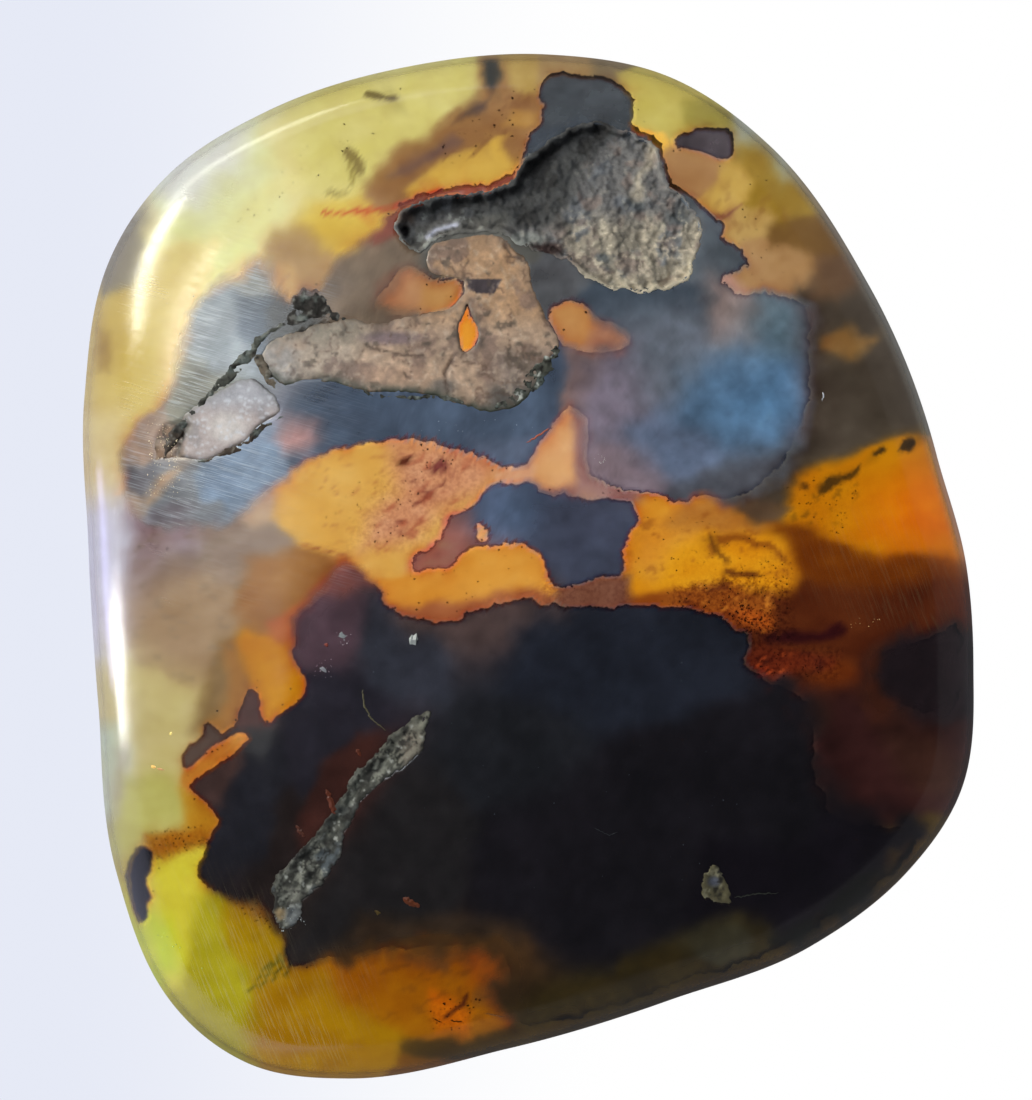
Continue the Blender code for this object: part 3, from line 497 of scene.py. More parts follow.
# Colours in the amber: name, colour as seen from above against the light, softness of the edge,
# raggedness of the edge, outline. Later patches lie over earlier ones.
# Painted reflection: the three pale zones at the upper left and top rim lay the glow of the lamps mirrored
# in the polish over the amber's own pale tint.
AMBER_COLOURS = zones("""
pale upper left | #eadf9e 4.5 0.5 | -18.5,15.5 -16,21 -11.5,22.5 -11,19 -12.5,16.8 -15.5,16.2
milky upper left | #f6f6dc 2.4 0.4 | -17.6,18.2 -17.6,20.4 -14.5,22.6 -13.6,22 -14.4,19.6 -16.2,17.6
pale top rim | #e4e2c0 0.9 0.3 | -14.5,22 -10.5,24.9 -5,26 -4,25.5 -8,24.6 -12.6,22.4
tan between the streaks | #d6c178 1.2 0.3 | -19.4,8 -19.2,12 -18.4,15.6 -16,16.2 -15.5,14.5 -16.6,11.5
    -17.6,9.3 -18.6,8
peach beside the slate | #f8eba0 0.9 0.2 | -17.2,10 -16.8,12.4 -15.8,15.6 -13.6,15.9 -13,15.2 -14.4,14.9
    -15.8,13.4 -16.6,12 -17.3,9.8
left gold | #c3a84f 2.2 0.4 | -22.3,7.5 -22.2,13.4 -20,13.6 -19.4,11 -18.9,8.2 -19.6,7.4
left brown smudges | #9f7f2e 0.5 0.3 | -21.6,10 -21.5,11.8 -20.8,11.6 -20.9,10
upper left rim smudge | #88806a 0.7 0.3 | -21.3,13.6 -20.6,16.3 -19.9,17.2 -19.6,15.6 -19.8,13.9
upper yellow | #d4c979 3.5 0.5 | -12.5,22.8 -10,25 -2.4,25.6 -2.2,24.2 -3.4,22.2 -6.5,20.4 -8,18.8
    -10.6,18.4
gold under it | #ceab3d 1.4 0.4 | -10.9,16.4 -10.4,18.2 -8.3,18.4 -7,17.4 -7.2,16.2 -9,15.4 -10.2,15.6
mauve tan | #a28050 1.3 0.5 | -13,15.2 -12.4,16.5 -10.6,16.5 -9.9,15.5 -9.6,14.4 -11,14.4 -12.3,15.2
tan by the black rock | #be995f 0.5 0.2 | -13.2,13.2 -12.6,14.9 -11.6,14.9 -11,13.9 -11.8,12.9 -12.5,12.6
rust by the black rock | #ab8956 0.4 0.2 | -11.4,13.7 -11.2,14.9 -9.6,15.2 -9.5,13.6 -10.3,13.6
brown band | #936a42 0.6 0.5 | -2.1,25.4 -1,25.4 -0.5,24.2 0.3,23.6 0.8,23 0.3,21.9 -0.4,20.6 -1.2,21.2
    -2.8,21 -4,20.4 -5.2,19.5 -5.7,18.8 -6.4,18.2 -7.2,17.7 -8.1,18.2 -8,18.9 -7,20 -6,20.8 -4.8,21.5
    -3.8,22.1 -3,23 -2.4,23.8
dark plug | #333534 0.35 0.2 | -1.95,25.3 -1.15,25.3 -1.2,24.6 -1.6,24 -1.95,24.3
dark streak | #4d3d3a 0.35 0.3 | -1.7,23.8 -2,23 -3,22.2 -3.6,22.1 -3.2,22.7 -2.4,23.4
mauve streak | #74584e 0.45 0.3 | -3.6,21.6 -4.8,20.9 -6,20.1 -6.6,19.6 -5.6,19.6 -4.4,20.4 -3.2,21.2
olive top | #b29452 0.5 0.2 | -0.95,25.6 -0.85,24.5 -0.1,24 0.5,24.6 0.6,25.7
tan patch | #ac7e40 0.4 0.2 | -1,22.1 -0.5,22.9 0.2,23.1 0.7,22.9 0.6,22.3 0,22
yellow window | #d0a94d 0.35 0.2 | -5.7,18.9 -5,19.4 -4.3,20.2 -3.2,20.5 -1.9,20.8 -1.2,21.5 -0.6,21.5
    -0.9,20.7 -1.05,20.2 -0.9,19.9 -0.7,19.5 -1.3,19.15 -2,18.9 -3.2,18.85 -4.2,18.6 -5.2,18.4
rusty top | #a38659 0.5 0.3 | 0.6,25.8 0.6,24.6 2,24.7 3.1,24.5 3.3,25.6
purple top | #847458 0.5 0.3 | 3.1,25.6 3,24.4 4.2,24.2 4.6,24.8 5.2,25.3
upper right yellow | #bfaf57 0.5 0.3 | 4.4,24.4 5.4,25.1 7.5,24.6 9.6,23.4 9.2,22.3 8.2,22.1 7.5,21.5
    6.6,21.2 5,21.7 5.5,22.8 5.2,23.7
its olive end | #988c3f 0.6 0.3 | 7.9,22 7.9,23 9.8,23.1 9.6,22
its orange foot | #ffbc48 0.3 0.2 | 4.7,21.5 5,21.95 5.8,21.8 6.8,21.7 6.9,21.1 5.4,21.1
shoulder rim | #a5aa9a 0.8 0.3 | 10.2,22.8 10.3,21 11,20.8 12.6,19.8 12.4,20.8 11.2,22.4
shoulder olive | #997a2c 1.0 0.4 | 10.4,20.9 10.2,19.9 10.6,18.4 11.2,17 13.4,17.2 13.9,18 12.8,19.6
    11.4,21.1
shoulder tan | #c3a052 0.5 0.2 | 8.3,18.3 8.7,19 9.4,19.8 10.3,20.3 10.9,19.4 11,18.5 10.2,17.9 9.4,17.5
    8.9,17.6
shoulder orange | #a67d53 0.4 0.2 | 6.6,20 7,20.6 8.5,20.7 9.2,20.3 9.1,19.6 8.5,19 8.2,18.5 7.4,18.8 7,19.4
lower shoulder tan | #ba995b 0.5 0.2 | 9.3,16.4 9.6,17.1 10.4,17.9 11.4,18.1 12.4,17.4 12.2,16.4 11.4,16.1
    10.4,15.9
wedge | #895644 0.25 0.15 | 9,17.4 9.7,17.65 10.6,18.15 10,17.4 9.5,17 9.2,17
below the shoulder | #a57e52 0.7 0.3 | 10.9,15.6 11.6,15.9 12.6,15.6 13.6,15.5 14.6,15 14.2,14.2 12.4,13.8
    11.2,13.3 10.2,13.6 10,14.5 11,14.9
brown bar | #6f5028 0.8 0.4 | 12.3,15.7 12,16.8 13.8,17.3 15.6,16.8 15.8,15.6 14.6,15.5 13.2,15.9
pinkish edge | #b89384 0.7 0.3 | 9,14.6 9.3,13.4 9.2,12.4 10,11.4 11.4,11.5 12.2,12.8 11.2,13.4 10.3,13.9
dark right shoulder | #453c32 1.2 0.6 | 13.8,13.9 15,14 16.4,14.4 17.6,13.6 19.8,8 20.4,6.4 17.5,6.6 15.2,6
    13.6,5 11.4,4.4 11.2,3.2 12.2,3.2 13.2,5 13.4,7 13.9,9 13.9,12.6
rusty shoulder | #5e4530 0.8 0.4 | 14.2,13.4 14.4,15.2 16.2,15.2 16.4,13.8 15.4,12.9
faint orange spot | #826034 0.5 0.3 | 14.3,10.6 14.6,11.2 15.4,11.55 16.4,11.5 17.1,11.1 16.7,10.6 16,10.2
    15.2,10.1
right gold | #bb7404 0.9 0.4 | 12.4,3.4 12.7,4 13.5,4.35 14.5,4.6 15.2,5.3 16.3,5.9 17.4,6.2 18.6,6.3
    20.1,6.3 21.2,3.2 21.7,0.7 20.4,0.6 18.9,0.5 17.5,0.6 16.4,0.9 15.6,1.4 14.5,1.7 13.4,2 12.7,2.5
right orange | #cf6c04 2.6 0.4 | 17.2,3.2 18.8,4.6 20.6,5 21.5,2.6 21.7,0.6 19.6,0.7 18,1 17,1.8
brown below the right gold | #673004 1.0 0.5 | 10.8,2 12.6,1.9 14.2,1.4 16,0.8 18.5,0.2 21.8,0.3 21.9,-1
    18.5,-1.4 14.6,-0.8 13.2,-0.2 12.6,0.9 11.4,1.6
rusty brown | #4e210b 1.0 0.6 | 13,-0.6 14.6,-0.8 18.4,-1.2 22,-1 22.3,-3 19.6,-3.4 16.6,-5 16.8,-6.6
    13.4,-6.4 12.4,-5.9 10.8,-4.8 10.7,-3.6 9.8,-2.5 11.4,-1
amber glow in it | #5d2607 0.8 0.4 | 13.8,-4.9 14.4,-6 16.2,-6.4 16.8,-5.4 15.4,-4.6
dark bar | #2a090b 0.35 0.3 | 11.2,-3.3 13,-3.2 14.2,-2.9 15.2,-2.7 15.5,-3.1 15.2,-3.6 14.2,-3.8 11.6,-3.75
deep rust | #311816 1.2 0.6 | 13.6,-6.6 17,-6.4 22.2,-6.8 22.2,-9.5 20.9,-12.4 14.2,-12.6 13.8,-7.6
rust glow | #311b14 1.2 0.5 | 17.4,-7.8 20,-8.2 21.7,-9.6 21,-11.4 19.2,-11.2 18,-9.4
yellow patch | #d08811 0.8 0.3 | 5,1 5.4,2 5.7,2.7 6.8,2.95 8,2.8 8.7,3.1 9.4,2.7 10.5,2.2 11.5,1.75
    12.4,1.3 12.9,0.6 13.1,-0.2 13.1,-1 12.6,-1.4 11.5,-1.1 10.4,-0.9 9.4,-0.6 8.2,-0.9 7.2,-1.3 6,-1.4
    5,-1.3 4.8,-0.6 5.2,0.1
its tan left | #cc8525 1.2 0.3 | 4.9,0.2 5.1,2.8 8,3.1 8.8,2 7,1 6,-0.6
its dull top | #ad712b 0.7 0.3 | 6.2,2 7.6,3.1 9.4,3.1 11.6,1.9 10,1.5 8,1.9
dusk left of the right gold | #53402f 0.6 0.5 | 9.7,3.7 10.6,3.6 11.8,3.5 12.5,3.1 11.9,2.5 11.2,2.2
    10.5,2.6 9.8,3.1
its granular foot | #874412 0.5 0.4 | 5.2,-1.4 7.2,-1.3 8.4,-0.9 9.6,-0.6 10.6,-1 11.8,-1.2 12.4,-1.6
    12.2,-2.6 11.6,-3.4 10.6,-3.2 9.8,-2.4 8.4,-1.95 5,-1.8
upper glowing grains | #af5617 0.5 0.4 | 9.6,-2.2 10.4,-2 12.2,-2.6 12,-3.3 10.8,-3.2 10,-2.9
lower glowing grains | #60230e 0.5 0.4 | 10.8,-4.6 11.4,-4 12.5,-4.1 13.6,-4.3 15.2,-4.4 15,-5.2 13.4,-5.4
    12.2,-5.8 11.4,-5.5
orange bridge | #764b39 0.5 0.3 | 0.9,-0.9 2,-1 4,-0.6 5,-0.3 5,-1.9 1.4,-1.95 0.4,-1.9
left tan | #cfbb81 2.4 0.4 | -22.5,8 -19.7,8 -20,5 -20.5,3 -22.4,2.8
rosy left | #c1bfcb 2.8 0.4 | -22.4,3.4 -20.2,3.6 -19.2,2 -19.4,-0.6 -20,-4.2 -22.2,-4.2
mauve left | #9a8c94 1.2 0.5 | -20,2.4 -17,2.2 -15,2.6 -15.6,1 -17,-0.4 -18.2,-2 -19.6,-3.8 -20.3,-1.6
    -19.6,0
first mauve smudge | #917d7f 0.8 0.6 | -19.4,1.6 -18.2,2 -17.6,1.2 -18.6,0.2 -19.6,-0.4 -19.8,0.6
second mauve smudge | #806f6c 0.9 0.6 | -18.4,0.2 -17,0.8 -16.2,0 -17.6,-1.2 -18.8,-2.2 -19,-1
dusty middle | #877568 1.2 0.5 | -16.6,2.4 -14,2.7 -12.2,2.6 -12,0.4 -14,-0.6 -16.4,-0.6
peach under the slate | #b69b80 0.7 0.3 | -14.4,2.7 -13.4,3.7 -11.8,4.7 -11.2,3.8 -12.2,2.4 -13.6,2.2
orange rust fringe | #e1ac7a 0.5 0.3 | -20.4,3.6 -20.1,4.8 -19.7,6.2 -19.1,7.5 -19.1,6 -19.6,4.2
tan left middle | #9b8164 2.2 0.5 | -19.6,-1.2 -17.8,-0.2 -15.4,-0.8 -14.2,-2.2 -14.8,-5 -17,-5.8 -19.6,-4
olive left | #c1b37b 3.0 0.5 | -20.4,-4.4 -18.2,-5.4 -16.8,-6.2 -16.4,-8 -17.4,-10.6 -21.2,-10.6 -21.6,-6
dark olive | #7d633d 0.9 0.3 | -15.4,-3.6 -14.6,-3.6 -15,-5.4 -15.8,-7.4 -16.6,-8.2 -16.6,-6.8 -15.9,-5
brown middle | #926334 1.0 0.5 | -14.2,0.4 -11.8,0.8 -10.4,0.2 -9.6,-0.6 -10.6,-1.6 -12,-2.6 -13.4,-2.8
    -14.6,-2
rust by the black | #a6592e 0.4 0.3 | -12.8,-2.6 -11.4,-1.8 -10.2,-0.6 -9.2,0.4 -8.6,0 -9.8,-1.6 -11.2,-3
    -12.2,-3.6
orange middle | #d4a451 0.5 0.3 | -12.2,4.4 -11,5.5 -9.5,5.95 -8,6.15 -5.2,6.25 -4.2,5.95 -2.4,5.6 -1.8,5.1
    -1.6,4.6 -1.9,3.8 -3.2,2.8 -4.1,2.3 -4.4,1.4 -5,0.7 -5.7,0.6 -6,0 -7.3,-0.7 -8.2,-0.7 -8.7,0.2 -9.8,0.5
    -11.2,1.1 -12.2,2.4
its rosy end | #ca906a 1.3 0.5 | -6.4,6.4 -4.2,6.1 -2.2,5.6 -1.5,4.6 -2,3.8 -3.4,2.8 -5.8,1.6 -7.4,1
    -8.4,0.8 -8,2.2 -6.6,3.6
red by the island | #c26a5d 0.4 0.2 | -5.4,0.5 -4.5,1.2 -4.2,2.2 -3.7,2.3 -3.5,1.4 -4,0.5 -4.9,0.2
orange neck | #d8b28b 0.3 0.2 | -1.9,4.8 -1,4.65 -0.2,5 0.3,5.2 0.6,4.2 -0.8,4.25 -1.8,4.2
orange triangle | #d5a36e 0.3 0.2 | 0.3,4.3 0.2,5.3 0.8,6.3 1.2,7.3 2.1,7.9 2.7,7.2 2.8,5 2.7,3.8 1.4,3.8
left window | #b08058 0.5 0.3 | -8.1,13 -6.9,14.2 -6.1,15.2 -4.6,14.5 -4.6,12.2 -7.4,12.1
its orange end | #b5854e 0.6 0.2 | -5.3,14.3 -3,14.5 -3,13 -4.2,12.5 -5.4,12.8
right window | #be8c54 0.5 0.2 | 0.7,12.2 0.9,13.2 2.2,13.5 3.5,12.8 3.9,11.6 3,10.9 1.6,11
its rusty end | #ab7d61 0.7 0.3 | 3.5,12.6 4.8,12.2 5.4,11.3 4.6,10.4 2.8,10.2 3,11.2
orange drop | #e29c34 0.3 0.1 | -3.1,13.4 -2.2,12 -2.3,10.8 -2.9,10.3 -3.5,10.4 -3.8,11.8
notch | #dab076 0.3 0.1 | -2.9,2.3 -2,2.2 -1.8,1.4 -2.2,1.1 -2.7,1.2
its rosy edge | #9a7670 0.5 0.2 | 2.1,7.4 2.7,7.6 3.2,6 3,4.4 4.8,3.7 4.6,3.2 2.4,3.7 0.4,3.75 0.6,4 2.2,4.1
orange lobe | #ce8c33 0.25 0.2 | -7.5,-0.7 -6.6,-0.45 -5.8,-0.3 -5.4,-0.5 -4.8,0 -3.5,0.05 -3.3,0.8
    -2.7,1.15 -1.7,0.95 -0.9,1.1 -0.3,1.3 0.3,0.8 0.9,0.1 1,-1 0.2,-1.5 -0.8,-1.4 -2,-2 -3.2,-2.4 -4.4,-2.8
    -5.6,-2.6 -6.8,-2 -7.4,-1.3
its burnt foot | #9b5934 0.5 0.3 | -7.2,-1.5 -5.4,-2.1 -3.8,-2 -2.2,-1.5 -0.8,-1 0.4,-0.9 1,-1.4 0.4,-2.2
    -2.2,-2.6 -4.4,-3.2 -6.6,-2.8
orange patch | #b97704 0.35 0.3 | -14.2,-3.6 -13.6,-3.1 -12.9,-3.3 -12.3,-3.9 -11.8,-4.6 -11.3,-5 -11,-5.6
    -11.3,-6.2 -12,-6.6 -12.5,-7 -12.9,-7.8 -13.4,-7.4 -13.5,-6.4 -14,-6 -14.6,-5.2
its brown side | #93632b 0.7 0.3 | -15.2,-3.8 -14.2,-3.4 -14,-5.8 -14.6,-7 -15.6,-8.1 -16.2,-8 -15.2,-6.4
pale left foot | #b9c2a9 1.3 0.4 | -21.7,-8 -20.2,-8 -19.8,-10.6 -20.6,-12 -21.2,-12
pinkish left foot | #a59c84 0.8 0.4 | -20.6,-9.2 -19.9,-9 -19.7,-11 -20.3,-12.4 -20.9,-11.6
green left foot | #b4af62 1.2 0.4 | -20,-10.6 -17.6,-10.6 -16.8,-11.6 -16.2,-12.6 -18.4,-13 -20.4,-14
gold by the black | #b3801f 0.6 0.3 | -17.2,-11 -16.4,-11.2 -15.8,-12 -15.4,-12.8 -16,-13.4 -17.2,-12.8
orange strip | #ba792b 0.25 0.15 | -17.1,-10.7 -16.9,-9.9 -16.2,-9.4 -15.6,-8.7 -15.1,-8.3 -14.4,-8.1
    -13.5,-8.4 -13.9,-9 -14.8,-9.6 -15.5,-10.1 -16.2,-10.7 -16.9,-11.2
brown arch | #9a5a0e 0.5 0.3 | -19.2,-13.6 -18,-13.1 -16.2,-13 -15.9,-13.6 -16.6,-13.9 -17.6,-14.3
    -18.4,-14.7 -18.7,-14
bright green | #cbc03a 1.0 0.4 | -18.6,-14.6 -17.2,-14.3 -16.2,-14 -16.5,-15.6 -16,-16.8 -16.6,-19.4
    -17.2,-21 -19,-19.6 -19.2,-18 -18.8,-16.6
green shine | #b7c426 1.2 0.3 | -19,-17.6 -17.6,-17.8 -17.2,-20.2 -18.6,-20.4 -19.3,-18.8
olive foot | #a09619 1.2 0.5 | -16.2,-16.6 -15,-16.6 -14.4,-18.6 -14.4,-20.6 -13,-22.6 -13.6,-25 -16,-24
    -17.8,-22 -16.4,-19.6
gold foot | #987704 0.8 0.4 | -14.8,-17 -13.6,-17.2 -12.3,-17.8 -12.1,-19.6 -12.8,-20.2 -14,-19.8
    -14.8,-18.8
brown over the gold | #8f661d 0.5 0.3 | -15.4,-16.2 -13.6,-16.2 -12.6,-17.2 -13.2,-17.8 -14.2,-16.9
amber foot | #986c04 1.5 0.5 | -13.4,-21 -11,-20.4 -8,-20.6 -6.4,-22 -7.4,-25.8 -12.2,-25.6 -13.8,-24.4
burnt foot | #945804 0.9 0.4 | -9.8,-19.9 -8,-19.6 -5,-19.5 -3,-19.2 -1.6,-18.8 -0.8,-19.2 -0.7,-20.4
    -1.2,-22.3 -1.8,-23.1 -3.2,-23.4 -5.2,-23.2 -7,-22.8 -9.6,-21.6
its glow | #b85e04 0.6 0.3 | -4.9,-21.2 -3.4,-21.5 -2.6,-22.3 -2.9,-23.2 -4.6,-23.1 -5.2,-22.2
its brown end | #994e0b 0.6 0.3 | -2.8,-19.2 -1.4,-18.6 -0.5,-19.2 -0.5,-21 -1.2,-22.6 -2,-22 -2.4,-20.4
dark line below it | #3a2a0a 0.4 0.3 | -6.6,-23.9 -4.6,-23.6 -2.6,-23.7 -0.8,-22.9 0.6,-23.2 -1,-24.2
    -3.4,-24.7 -6,-24.5
brown rim below it | #683d04 0.4 0.2 | -7.4,-25.4 -6.6,-24.5 -4.2,-24.7 -3,-24.6 -4.4,-25.2
dark foot | #3f300e 1.0 0.4 | -0.4,-20.6 0.8,-19 6,-19 14,-17 20,-12.6 21.2,-12.8 19.2,-15.2 14,-19.3
    7,-21.9 -0.4,-24.1
black rim | #150b12 0.8 0.4 | 16.9,-5 19.4,-3.6 22.4,-2.8 22.6,-7.4 19.4,-7.6 17.2,-6.6
""")

# Faint marks: colour, width at the start and at the end, line
PAINTED_MARKS = zones("""
#4a300c 0.5 0.34 | 14.2,3.85 14.8,4.15 15.5,4.7 16.1,5.15
#5a360c 0.26 0.26 | 13.3,4.2 13.5,4.2
#30200c 0.4 0.36 | 16.9,5.72 17.2,5.82
#30200c 0.5 0.46 | 18.45,5.9 18.7,6.05
#6a3c0c 0.4 0.3 | 9,1.25 9.15,0.8 9.5,0.35
#8a4c10 0.26 0.26 | 9.5,1.2 10.4,1.35 11.2,1.15 12,0.7 12.6,0.1
#5c2c0c 0.3 0.24 | 9.4,-0.15 10.4,-0.25 11.2,-0.4
#4c1c10 0.5 0.3 | -6.2,5.3 -5.7,5.6
#6c3030 0.5 0.34 | -4.7,4.6 -4.3,5.1
#8c4430 0.34 0.24 | -5.3,3 -4.9,3.4
#4a1e0a 0.24 0.2 | -2.7,-21.2 -3,-21.8 -3.5,-22.1 -4.1,-22.4
#b07828 0.4 0.3 | -10.9,-10.95 -10.5,-10.95
#9a5a34 0.1 0.2 | -11.2,1 -10.2,0.75 -9,0.3
#5c5414 0.16 0.2 | -13.2,-19.9 -13.9,-21.2
#5c5414 0.16 0.2 | -12.75,-19.7 -13.35,-21
#4a400c 0.16 0.2 | -12.3,-19.5 -12.8,-20.7
#4a400c 0.16 0.18 | -11.85,-19.4 -12.25,-20.4
#8a7a48 0.5 0.7 | -8.9,20.7 -8.6,20.4 -8.2,20.1
#988a48 0.35 0.25 | -9.9,19 -9.5,18.8 -9.2,18.9
#988a48 0.25 0.25 | -8.9,19.3 -8.8,19.9 -8.9,20.3
#6a5c30 0.5 0.24 | -8.1,23.3 -7.6,23.1 -7,23
#b8401c 0.3 0.2 | -10,17.7 -8,17.6 -6.8,17.9 -5.6,18.3 -4.4,18.5
""")
